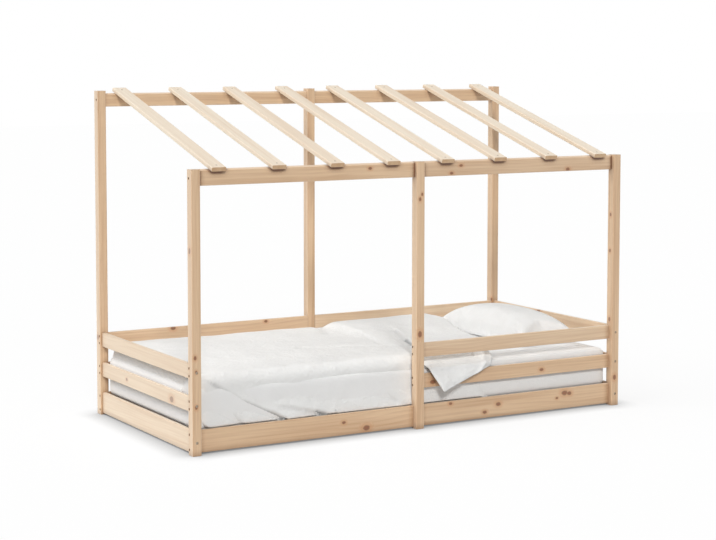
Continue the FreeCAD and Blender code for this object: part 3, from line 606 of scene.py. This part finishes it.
def makeSteel():
    s = steelSettings
    material, tree, metal = newMaterial("zincSteel")
    where = tree.nodes.new("ShaderNodeTexCoord").outputs["Object"]
    spangle = clouds(tree, where, s["spangleScale"])
    feed(tree, metal.inputs["Base Color"], tint(tree, spangle, s["colour"], s["shade"]))
    feed(tree, metal.inputs["Roughness"], ramp(tree, spangle, *s["spangleRange"], *s["roughness"]))
    setPlain(metal, {"Metallic": s["metallic"]})
    return material


def makeWebbing():
    s = webbingSettings
    material, tree, tape = newMaterial("webbing")
    ribs = tree.nodes.new("ShaderNodeTexWave")
    ribs.bands_direction = "DIAGONAL"
    setPlain(ribs, s["ribs"])
    tree.links.new(tree.nodes.new("ShaderNodeTexCoord").outputs["Object"], ribs.inputs["Vector"])
    feed(tree, tape.inputs["Base Color"], tint(tree, ribs.outputs["Fac"], s["dark"], s["light"]))
    setPlain(tape, {"Roughness": s["roughness"]})
    addBump(tree, tape, ribs.outputs["Fac"], 1.0, s["ribDepth"])
    return material


steel = makeSteel()
for name in ("frame_bolts", "middle_post_studs", "barrel_nuts", "roof_screws", "ledger_screws"):
    dress(name, steel)
dress("slat_straps", makeWebbing())
print("steel and webbing")

# cloth

cottonSettings = {
    "threads": {"Scale": 260, "Distortion": 1.2, "Detail Scale": 2.0},
    "threadHeight": 0.012,
    "broad": {"scale": 5.5, "detail": 3.0, "roughness": 0.55},
    "folds": {"scale": 9.0, "detail": 4.0, "roughness": 0.6},
    "wrinkles": {"scale": 26.0, "detail": 3.0, "roughness": 0.6},
    "foldSides": (0.0, 0.16),
    "wrinkleSides": (0.0, 0.14),
    "wrinkleHeight": 0.3,
    "broadShade": (0.35, 0.7, 0.0, 0.5),
    "foldShade": (0.10, 0.0, 0.0, 0.3),
}
clothFinish = {
    "plain": {"Roughness": 0.85, "Specular IOR Level": 0.2, "Sheen Weight": 0.15, "Sheen Roughness": 0.5},
    "bumpDepth": 0.006,
    "nookReach": 0.022,
    "nookPower": 1.3,
    "nookShade": (0.40, 0.41, 0.41, 1),
    "crease": (0.36, 0.37, 0.38, 1),
}
clothLooks = {
    "sheet": {"white": (0.95, 0.95, 0.945, 1), "shade": (0.92, 0.92, 0.915, 1), "crumple": 0.4, "bump": 0.35},
    "duvet": {"white": (0.94, 0.94, 0.93, 1), "shade": (0.89, 0.89, 0.88, 1), "crumple": 0.8, "bump": 0.4},
    "pillow": {"white": (0.92, 0.92, 0.915, 1), "shade": (0.87, 0.87, 0.86, 1), "crumple": 0.6, "bump": 0.4},
}


def foldLines(tree, place, pattern):  # 0 along the bottom of each fold
    return maths(tree, "ABSOLUTE", maths(tree, "SUBTRACT", clouds(tree, place, **pattern), 0.5))


def makeCottonGroup():
    s = cottonSettings
    tree, given, result = newGroup(
        "cotton",
        [("Place", "vector"), ("Crumple", "value"), ("White", "colour"), ("Shade", "colour")],
        [("Colour", "colour"), ("Height", "value")],
    )
    place = given["Place"]
    threads = []
    for direction in ("X", "Y", "Z"):
        wave = tree.nodes.new("ShaderNodeTexWave")
        wave.bands_direction = direction
        setPlain(wave, s["threads"])
        tree.links.new(place, wave.inputs["Vector"])
        threads.append(wave.outputs["Fac"])
    folds = foldLines(tree, place, s["folds"])
    wrinkles = foldLines(tree, place, s["wrinkles"])
    wrinkled = times(tree, ramp(tree, wrinkles, *s["wrinkleSides"]), s["wrinkleHeight"])
    height = total(tree, ramp(tree, folds, *s["foldSides"]), wrinkled)
    height = times(tree, height, given["Crumple"])
    height = total(tree, height, times(tree, total(tree, *threads), s["threadHeight"]))
    tree.links.new(height, result["Height"])
    # darker in broad random patches, and painted shade along the bottom of each fold
    broad = ramp(tree, clouds(tree, place, **s["broad"]), *s["broadShade"])
    shade = maths(tree, "ADD", broad, ramp(tree, folds, *s["foldShade"]), clamp=True)
    tree.links.new(tint(tree, shade, given["White"], given["Shade"]), result["Colour"])
    return tree


cottonGroup = makeCottonGroup()


def makeCotton(name, look):
    material, tree, cloth = newMaterial(name)
    where = tree.nodes.new("ShaderNodeTexCoord").outputs["Object"]
    cotton = useGroup(
        tree, cottonGroup, Place=where, Crumple=look["crumple"], White=look["white"], Shade=look["shade"])
    # painted shade in the cloth's own folds and creases
    nookShade = closeness(tree, clothFinish["nookReach"], clothFinish["nookPower"], ownOnly=True)
    colour = tint(tree, nookShade, cotton["Colour"], clothFinish["nookShade"], "MULTIPLY")
    # painted shade along creases and the duvet's hanging edge, from the crease attribute
    creaseShade = tree.nodes.new("ShaderNodeAttribute")
    creaseShade.attribute_name = "crease"
    colour = tint(tree, creaseShade.outputs["Fac"], colour, clothFinish["crease"], "MULTIPLY")
    feed(tree, cloth.inputs["Base Color"], colour)
    setPlain(cloth, clothFinish["plain"])
    addBump(tree, cloth, cotton["Height"], look["bump"], clothFinish["bumpDepth"])
    return material


def finishCloth(piece, look, cadNode):
    bpy.ops.object.select_all(action="DESELECT")
    piece.select_set(True)
    bpy.context.view_layer.objects.active = piece
    bpy.ops.object.transform_apply(location=True, rotation=True, scale=True)
    bpy.ops.object.shade_smooth()
    piece.data.materials.clear()
    piece.data.materials.append(makeCotton(piece.name + "Cotton", clothLooks[look]))
    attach(piece, "root")
    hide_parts(cadNode)


def hush(value, low, high):  # 0 below low, 1 above high, and a soft step between
    share = min(max((value - low) / (high - low), 0.0), 1.0)
    return share * share * (3 - 2 * share)


def ripples(a, b, layers):  # each layer has its height, its two scales and its seed
    return sum(height * noise.noise(Vector((a * n, b * m, seed))) for height, n, m, seed in layers)


def evenOut(piece, voxel):
    remesh = piece.modifiers.new("even", "REMESH")
    remesh.mode = "VOXEL"
    remesh.voxel_size = voxel
    bpy.ops.object.modifier_apply(modifier="even")


def addGrid(name, columns, rows):
    bpy.ops.mesh.primitive_grid_add(x_subdivisions=columns, y_subdivisions=rows, size=2, location=(0, 0, 0))
    piece = bpy.context.object
    piece.name = name
    piece.data.attributes.new("crease", "FLOAT", "POINT")
    return piece


def giveSkin(piece, thickness):
    skin = piece.modifiers.new("skin", "SOLIDIFY")
    skin.thickness = thickness
    skin.offset = -1
    bpy.context.view_layer.objects.active = piece
    bpy.ops.object.modifier_apply(modifier="skin")


mattressSettings = {
    "footFill": 0.021,
    "headFill": 0.012,
    "frontFill": 0.014,
    "corner": 0.034,
    "cornerSteps": 5,
    "edge": 0.016,
    "edgeSteps": 4,
    "voxel": 0.014,
    "ripple": 0.0025,
    "topWave": (3.1, 7.0, 9.0),
    "topDepth": 0.05,
    "topSinks": 0.002,
    "sideFold": (9.0, 3.0, 22.0),
    "sideWithin": (0.03, 0.005),
    "sideMargin": 0.02,
    "uprightOver": 0.01,
    "levelWithin": 0.001,
    "flatNormal": 0.9,
    "sideNormal": 0.1,
}


def rise(edge):
    return abs(edge.verts[0].co.z - edge.verts[1].co.z)


def isRim(edge):  # between the flat top or bottom and a side
    s = mattressSettings
    if rise(edge) >= s["levelWithin"] or len(edge.link_faces) != 2:
        return False
    slopes = [abs(face.normal.z) for face in edge.link_faces]
    return max(slopes) > s["flatNormal"] and min(slopes) < s["sideNormal"]


def makeMattress():
    s = mattressSettings
    low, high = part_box("mattress")
    low.x -= s["footFill"]  # the tucked sheet bulges towards the boards
    high.x += s["headFill"]
    low.y -= s["frontFill"]
    centre, size = (low + high) / 2, high - low
    bpy.ops.mesh.primitive_cube_add(size=1, location=centre)
    piece = bpy.context.object
    piece.name = "mattressSheet"
    piece.scale = size
    bpy.ops.object.transform_apply(location=True, rotation=False, scale=True)
    bpy.ops.object.mode_set(mode="EDIT")
    for edge in bmesh.from_edit_mesh(piece.data).edges:
        edge.select_set(rise(edge) > s["uprightOver"])
    bpy.ops.mesh.bevel(offset=s["corner"], segments=s["cornerSteps"], affect="EDGES")
    shape = bmesh.from_edit_mesh(piece.data)
    for face in shape.faces:
        face.select_set(False)
    for edge in shape.edges:
        edge.select_set(isRim(edge))
    bpy.ops.mesh.bevel(offset=s["edge"], segments=s["edgeSteps"], affect="EDGES")
    bpy.ops.object.mode_set(mode="OBJECT")
    evenOut(piece, s["voxel"])
    for vertex in piece.data.vertices:
        point = vertex.co
        wave = noise.noise(Vector([value * scale for value, scale in zip(point, s["topWave"])]))
        fold = noise.noise(Vector([value * scale for value, scale in zip(point, s["sideFold"])]))
        if point.z > high.z - s["topDepth"]:
            point.z += s["ripple"] * wave - s["topSinks"]
        aside = point.y - centre.y
        side = hush(abs(aside), *(size.y / 2 - inside for inside in s["sideWithin"]))
        if side > 0 and low.z + s["sideMargin"] < point.z < high.z - s["sideMargin"]:
            point.y -= math.copysign(abs(fold) * s["ripple"], aside) * side
    piece.data.attributes.new("crease", "FLOAT", "POINT")
    finishCloth(piece, "sheet", "mattress")


makeMattress()
print("mattress")

# the duvet: its outer skin is laid out on a grid, across the top and down the front

duvetSettings = {
    "foot": -1.105,
    "footBend": -0.958,
    "footRadius": 0.034,
    "footLean": 0.003,
    "footLeanOver": 0.05,
    "wrapFrom": (0.2, 1.0),
    "back": 0.432,
    "front": -0.434,
    "lift": 0.2546,
    "crown": 0.050,
    "hem": 0.0972,
    "hemRest": 0.001,
    "footHemRest": 0.002,
    "roll": 0.052,
    "skin": 0.012,
    "cell": 0.0066,
    "sample": 0.003,
    "headTop": 0.578,
    "headBack": 0.075,
    "headBackOver": (0.0, 0.32),
    "headCorner": 0.345,
    "headCornerOver": (0.10, 0.42),
    "headHem": 0.386,
    "headFall": 0.026,
    "headFallOver": (-0.075, 0.02),
    "headHold": (-0.01, 0.06),
    "backRise": 0.008,
    "backRiseOver": (0.1, 0.35),
    "upperRise": 0.017,
    "upperRiseAlong": (0.02, 0.10),
    "upperRiseAcross": (-0.15, 0.25),
    "rimHeight": 0.25,
    "backRim": (-0.01, 0.030),
    "footRim": (-0.006, 0.05),
    "headRim": (-0.006, 0.035),
    "topRipples": [(0.007, 2.3, 2.6, 1.7), (0.0035, 7.0, 5.0, 4.2)],
    "frontRipples": [(0.006, 3.2, 2.0, 9.1), (0.0025, 8.0, 4.0, 2.1)],
    "standOff": 0.004,
    "flare": 0.012,
    "flareOver": (0.05, 0.155),
    "hangingFrom": (0.3, 0.95),
    "edgeShade": 0.75,
    "edgeWithin": (0.993, 0.997),
}
creaseSettings = {"reach": 0.09, "stepFade": 0.03, "stepStart": 0.011, "shadeWidth": 0.75}


def crease(line, deep, wide, step, dark):  # it works only inside a box round its line
    low = [min(end[axis] for end in line) - creaseSettings["reach"] for axis in (0, 1)]
    high = [max(end[axis] for end in line) + creaseSettings["reach"] for axis in (0, 1)]
    return {"line": line, "deep": deep, "wide": wide, "step": step, "dark": dark, "low": low, "high": high}


# creases in the hanging front as (x, z) and on the top as (x, y); dark is the shade painted along each
frontCreases = [
    crease([(-0.925, 0.262), (-0.87, 0.226), (-0.816, 0.193), (-0.80, 0.180)],
           deep=0.005, wide=0.008, step=0.005, dark=0.30),
    crease([(-0.80, 0.180), (-0.755, 0.160), (-0.718, 0.142), (-0.66, 0.118), (-0.605, 0.088)],
           deep=0.007, wide=0.0085, step=0.007, dark=0.85),
    crease([(-0.62, 0.148), (-0.53, 0.124), (-0.47, 0.110)], deep=0.003, wide=0.008, step=0.003, dark=0.10),
    crease([(-0.470, 0.111), (-0.400, 0.088)], deep=0.005, wide=0.0085, step=0.004, dark=0.85),
    crease([(-1.0, 0.120), (-0.950, 0.086)], deep=0.008, wide=0.007, step=0.005, dark=1.0),
    crease([(-0.98, 0.205), (-0.90, 0.165), (-0.82, 0.115)], deep=0.005, wide=0.020, step=0.004, dark=0.08),
    crease([(-0.36, 0.238), (-0.22, 0.234), (-0.08, 0.240)], deep=0.001, wide=0.030, step=0.0, dark=0.10),
    crease([(-0.20, 0.175), (-0.10, 0.130)], deep=0.005, wide=0.016, step=0.003, dark=0.08),
]
topCreases = [
    crease([(0.245, 0.11), (0.215, 0.02), (0.18, -0.08)], deep=0.004, wide=0.009, step=0.005, dark=0.25),
    crease([(0.18, -0.08), (0.135, -0.21)], deep=0.008, wide=0.008, step=0.006, dark=0.9),
    crease([(0.02, 0.45), (0.01, 0.36), (-0.03, 0.26)], deep=0.008, wide=0.028, step=0.0, dark=0.12),
    crease([(0.08, 0.16), (0.06, 0.0), (0.03, -0.12)], deep=0.003, wide=0.018, step=0.001, dark=0.03),
    crease([(-0.32, -0.05), (-0.10, -0.12), (0.10, -0.20)], deep=0.004, wide=0.020, step=0.002, dark=0.03),
]


def nearLine(point, line):  # how far off the line a point is, and on which side
    best, side = math.inf, 0.0
    for a, b in zip(line[:-1], line[1:]):
        a, b = Vector(a), Vector(b)
        along = b - a
        share = min(max((point - a).dot(along) / along.length_squared, 0), 1)
        gap = point - (a + share * along)
        if gap.length < best:
            best = gap.length
            side = along.x * gap.y - along.y * gap.x
    return best, math.copysign(1, side)


def creaseAt(point, creases):
    s = creaseSettings
    depth, paintedShade = 0.0, 0.0
    for fold in creases:
        if not all(fold["low"][axis] < point[axis] < fold["high"][axis] for axis in (0, 1)):
            continue
        gap, side = nearLine(point, fold["line"])
        groove = fold["deep"] * math.exp(-(gap / fold["wide"]) ** 2)
        step = fold["step"] * side * math.exp(-gap / s["stepFade"]) * hush(gap, 0.0, s["stepStart"])
        depth += groove - step
        paintedShade = max(paintedShade, fold["dark"] * math.exp(-(gap / (fold["wide"] * s["shadeWidth"])) ** 2))
    return depth, paintedShade


def duvetLengths():  # across the top, round its edge and down the front
    s = duvetSettings
    top = s["back"] - s["front"] - s["roll"]
    front = s["lift"] + s["crown"] - s["roll"] - s["hem"]
    return top, s["roll"] * math.pi / 2, front


def duvetHeadAt(y, hang):
    s = duvetSettings
    if hang > 0:
        return s["headCorner"] + (s["headHem"] - s["headCorner"]) * hang
    top = s["headTop"] + s["headBack"] * hush(y, *s["headBackOver"])
    return top + (s["headCorner"] - top) * hush(-y, *s["headCornerOver"])


def duvetPoint(share, across):
    s = duvetSettings
    topLength, arcLength, hangLength = duvetLengths()
    angle = min(max((across - topLength) / s["roll"], 0), math.pi / 2)
    hang = min(max((across - topLength - arcLength) / hangLength, 0), 1)
    outward = math.sin(angle)
    y = s["back"] - min(across, topLength) - s["roll"] * outward
    drop = s["roll"] * (1 - math.cos(angle)) + hang * hangLength
    head = duvetHeadAt(y, hang)
    x = s["foot"] + share * (head - s["foot"])
    crown = s["crown"] + s["backRise"] * hush(y, *s["backRiseOver"]) + ripples(x, y, s["topRipples"])
    crown += s["upperRise"] * hush(x, *s["upperRiseAlong"]) * hush(y, *s["upperRiseAcross"])
    crown -= s["headFall"] * hush(x - head, *s["headFallOver"])
    rim = min(hush(across, *s["backRim"]), hush(x - s["foot"], *s["footRim"]), hush(head - x, *s["headRim"]))
    z = s["lift"] + crown * (s["rimHeight"] + (1 - s["rimHeight"]) * rim) - drop
    z = max(z, s["hem"] + s["hemRest"])
    flare = s["flare"] * hush(s["lift"] - z, *s["flareOver"])
    bulge = s["standOff"] + ripples(x, z, s["frontRipples"]) + flare
    y -= outward * bulge * hush(head - x, *s["headHold"])
    return Vector((x, y, z)), outward


def turnFoot(point, outward):  # past the mattress the top hangs down and the front wraps round the corner
    s = duvetSettings
    past = s["footBend"] - point.x
    if past <= 0:
        return point
    angle = min(past / s["footRadius"], math.pi / 2)
    further = max(past - s["footRadius"] * math.pi / 2, 0)
    lean = s["footLean"] * hush(further, 0, s["footLeanOver"])
    x = s["footBend"] - s["footRadius"] * math.sin(angle) - lean
    fall = s["footRadius"] * (1 - math.cos(angle)) + further
    wrap = hush(outward, *s["wrapFrom"])
    return Vector((x, point.y + fall * wrap, max(point.z - fall * (1 - wrap), s["hem"] + s["footHemRest"])))


def makeDuvet():
    s = duvetSettings
    wholeLength = sum(duvetLengths())
    columns = int((s["headTop"] - s["foot"]) / s["cell"])
    rows = int(wholeLength / s["cell"])
    piece = addGrid("duvetCover", columns, rows)
    creaseShade = piece.data.attributes["crease"]
    step = s["sample"]
    for vertex in piece.data.vertices:
        share, across = (vertex.co.x + 1) / 2, (1 - vertex.co.y) / 2 * wholeLength
        point, outward = duvetPoint(share, across)
        along = duvetPoint(min(share + step, 1), across)[0] - duvetPoint(max(share - step, 0), across)[0]
        above = duvetPoint(share, max(across - step, 0))[0]
        down = duvetPoint(share, min(across + step, wholeLength))[0] - above
        normal = down.cross(along).normalized()
        hanging = hush(outward, *s["hangingFrom"])
        onTop = creaseAt(Vector((point.x, point.y)), topCreases) if hanging < 1 else (0, 0)
        onFront = creaseAt(Vector((point.x, point.z)), frontCreases) if hanging > 0 else (0, 0)
        depth, paintedShade = (a * (1 - hanging) + b * hanging for a, b in zip(onTop, onFront))
        vertex.co = turnFoot(point - normal * depth, outward)
        # painted shade along the hanging front's edge at the head side
        edgeShadeLine = s["edgeShade"] * hanging * hush(share, *s["edgeWithin"])
        creaseShade.data[vertex.index].value = max(paintedShade, edgeShadeLine)
    giveSkin(piece, s["skin"])
    flap = makeFlap()
    bpy.ops.object.select_all(action="DESELECT")
    flap.select_set(True)
    piece.select_set(True)
    bpy.context.view_layer.objects.active = piece
    bpy.ops.object.join()
    finishCloth(piece, "duvet", "duvet")


# the corner that comes out over the middle guard rail, as its outer skin in rows from inside to its edge

flapSettings = {
    # its outline: x, share of the way over the rail, share of the hanging part
    "outline": [
        (0.036, 0.30, 0.0), (0.058, 1.0, 0.0), (0.100, 1.0, 1.0), (0.362, 1.0, 0.0), (0.400, 0.45, 0.0)],
    "tipHeight": 0.153,
    "standOff": 0.046,
    "insideY": -0.392,
    "insideZ": 0.292,
    "bendRadius": 0.016,
    "off": 0.0135,
    "above": 0.012,
    "insideFaces": (0, -0.3, 0.95),
    "hangingFaces": (0, -1, 0.4),
    "lumps": [(0.004, 9, 14, 5.0)],
    "ridge": {"height": 0.008, "x": 0.325, "z": 0.24, "width": 0.015},
    "rimSinks": 0.006,
    "leftRim": (-0.02, 0.10),
    "rightRim": (-0.02, 0.08),
    "lowRim": (-0.04, 0.16),
    "skin": 0.009,
    "columns": 84,
    "rows": 40,
}
railLow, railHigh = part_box("guard_rail_middle")


def flapLength(x, over, hanging):
    outline = flapSettings["outline"]
    for before, after in zip(outline[:-1], outline[1:]):
        if x <= after[0]:
            break
    share = min((x - before[0]) / (after[0] - before[0]), 1)
    overShare, hangShare = (a + (b - a) * share for a, b in zip(before[1:], after[1:]))
    return over * overShare + hanging * hangShare


def flapPoint(u, v):
    s = flapSettings
    start, end = s["outline"][0][0], s["outline"][-1][0]
    x = start + u * (end - start)
    radius = s["bendRadius"]
    bendY, bendZ = railLow.y - s["off"] + radius, railHigh.z + s["off"] + s["above"]
    slope = math.hypot(bendY - s["insideY"], s["insideZ"] - bendZ)
    arcLength = radius * math.pi / 2
    hangLength = bendZ - radius - s["tipHeight"]
    travel = v * flapLength(x, slope + arcLength, hangLength)
    if travel < slope:
        share = travel / slope
        y, z = s["insideY"] + share * (bendY - s["insideY"]), s["insideZ"] + share * (bendZ - s["insideZ"])
        normal = Vector(s["insideFaces"])
    elif travel < slope + arcLength:
        angle = (travel - slope) / radius
        y, z = bendY - radius * math.sin(angle), bendZ - radius * (1 - math.cos(angle))
        normal = Vector((0, -math.sin(angle), math.cos(angle)))
    else:
        down = travel - slope - arcLength
        y, z = bendY - radius - s["standOff"] * down / hangLength, bendZ - radius - down
        normal = Vector(s["hangingFaces"])
    fold = s["ridge"]
    ridge = fold["height"] * math.exp(-((x - fold["x"] - (z - fold["z"])) / fold["width"]) ** 2)
    rim = min(hush(u, *s["leftRim"]), hush(1 - u, *s["rightRim"]), hush(1 - v, *s["lowRim"]))
    return Vector((x, y, z)) + normal * (ripples(x, z, s["lumps"]) + ridge - s["rimSinks"] * (1 - rim))


def makeFlap():
    s = flapSettings
    piece = addGrid("duvetCorner", s["columns"], s["rows"])
    for vertex in piece.data.vertices:
        vertex.co = flapPoint((vertex.co.x + 1) / 2, (1 - vertex.co.y) / 2)
    giveSkin(piece, s["skin"])
    return piece


makeDuvet()
print("duvet")

# the pillow

pillowSettings = {
    "backLeft": (0.660, 0.400),
    "backRight": (0.968, 0.375),
    "frontLeft": (0.650, -0.295),
    "frontRight": (0.962, -0.300),
    "cuts": 36,
    "height": 0.128,
    "seam": 0.036,
    "fullness": 2.5,
    "endWaist": 0.055,
    "sideWaist": 0.075,
    "underside": 2.4,
    "leans": 0.004,
    "leansOver": (-1.0, -0.35),
    "voxel": 0.0075,
    "rests": 0.012,
    "pressure": 4.0,
    "slack": -0.01,
    "quality": 6,
    "frames": 20,
    "cap": 0.012,
    "smoothBy": 0.5,
    "smoothing": 6,
}


def puff(piece, settings):  # the filling pushes the case out, and the part that lies stays where it is
    resting = piece.vertex_groups.new(name="resting")
    lowest = min(vertex.co.z for vertex in piece.data.vertices)
    for vertex in piece.data.vertices:
        if vertex.co.z < lowest + settings["rests"]:
            resting.add([vertex.index], 1.0, "REPLACE")
    before = [vertex.co.copy() for vertex in piece.data.vertices]
    filling = piece.modifiers.new("filling", "CLOTH")
    filling.settings.use_pressure = True
    filling.settings.uniform_pressure_force = settings["pressure"]
    filling.settings.effector_weights.gravity = 0
    filling.settings.shrink_min = settings["slack"]
    filling.settings.vertex_group_mass = "resting"
    filling.settings.quality = settings["quality"]
    filling.point_cache.frame_end = settings["frames"]
    for frameNumber in range(1, settings["frames"] + 1):
        bpy.context.scene.frame_set(frameNumber)
    bpy.context.view_layer.objects.active = piece
    bpy.ops.object.modifier_apply(modifier="filling")
    bpy.context.scene.frame_set(1)
    for vertex, old in zip(piece.data.vertices, before):
        move = vertex.co - old
        if move.length > settings["cap"]:
            vertex.co = old + move * settings["cap"] / move.length
    even = piece.modifiers.new("even", "SMOOTH")
    even.factor = settings["smoothBy"]
    even.iterations = settings["smoothing"]
    bpy.ops.object.modifier_apply(modifier="even")


def pillowPoint(u, v, w, floorZ):  # a spot of a cube from -1 to 1, moved to its place in the case
    s = pillowSettings
    full = math.prod(max(1 - abs(side) ** s["fullness"], 0) ** 0.5 for side in (u, v))
    inward = 1 - s["endWaist"] * (1 - v * v) * abs(u) ** 3
    aside = 1 - s["sideWaist"] * (1 - u * u) * abs(v) ** 3
    across, along = (u * inward + 1) / 2, (v * aside + 1) / 2
    front = Vector(s["frontLeft"]).lerp(Vector(s["frontRight"]), across)
    back = Vector(s["backLeft"]).lerp(Vector(s["backRight"]), across)
    place = front.lerp(back, along)
    lean = s["leans"] * (1 - hush(u, *s["leansOver"]))  # this side lies on the duvet's end
    seam = s["seam"] + lean
    top = seam + (s["height"] - seam) * full
    bottom = lean + s["seam"] * (1 - min(full * s["underside"], 1))
    return place.x, place.y, floorZ + bottom + (top - bottom) * (w + 1) / 2


def makePillow():
    s = pillowSettings
    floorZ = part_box("pillow")[0].z
    bpy.ops.mesh.primitive_cube_add(size=2, location=(0, 0, 0))
    piece = bpy.context.object
    piece.name = "pillowCase"
    bpy.ops.object.mode_set(mode="EDIT")
    bpy.ops.mesh.select_all(action="SELECT")
    bpy.ops.mesh.subdivide(number_cuts=s["cuts"])
    bpy.ops.object.mode_set(mode="OBJECT")
    for vertex in piece.data.vertices:
        vertex.co = pillowPoint(*vertex.co, floorZ)
    evenOut(piece, s["voxel"])
    puff(piece, s)
    piece.data.attributes.new("crease", "FLOAT", "POINT")
    smooth = piece.modifiers.new("soft", "SUBSURF")
    smooth.levels = smooth.render_levels = 1
    finishCloth(piece, "pillow", "pillow")


makePillow()
print("pillow")
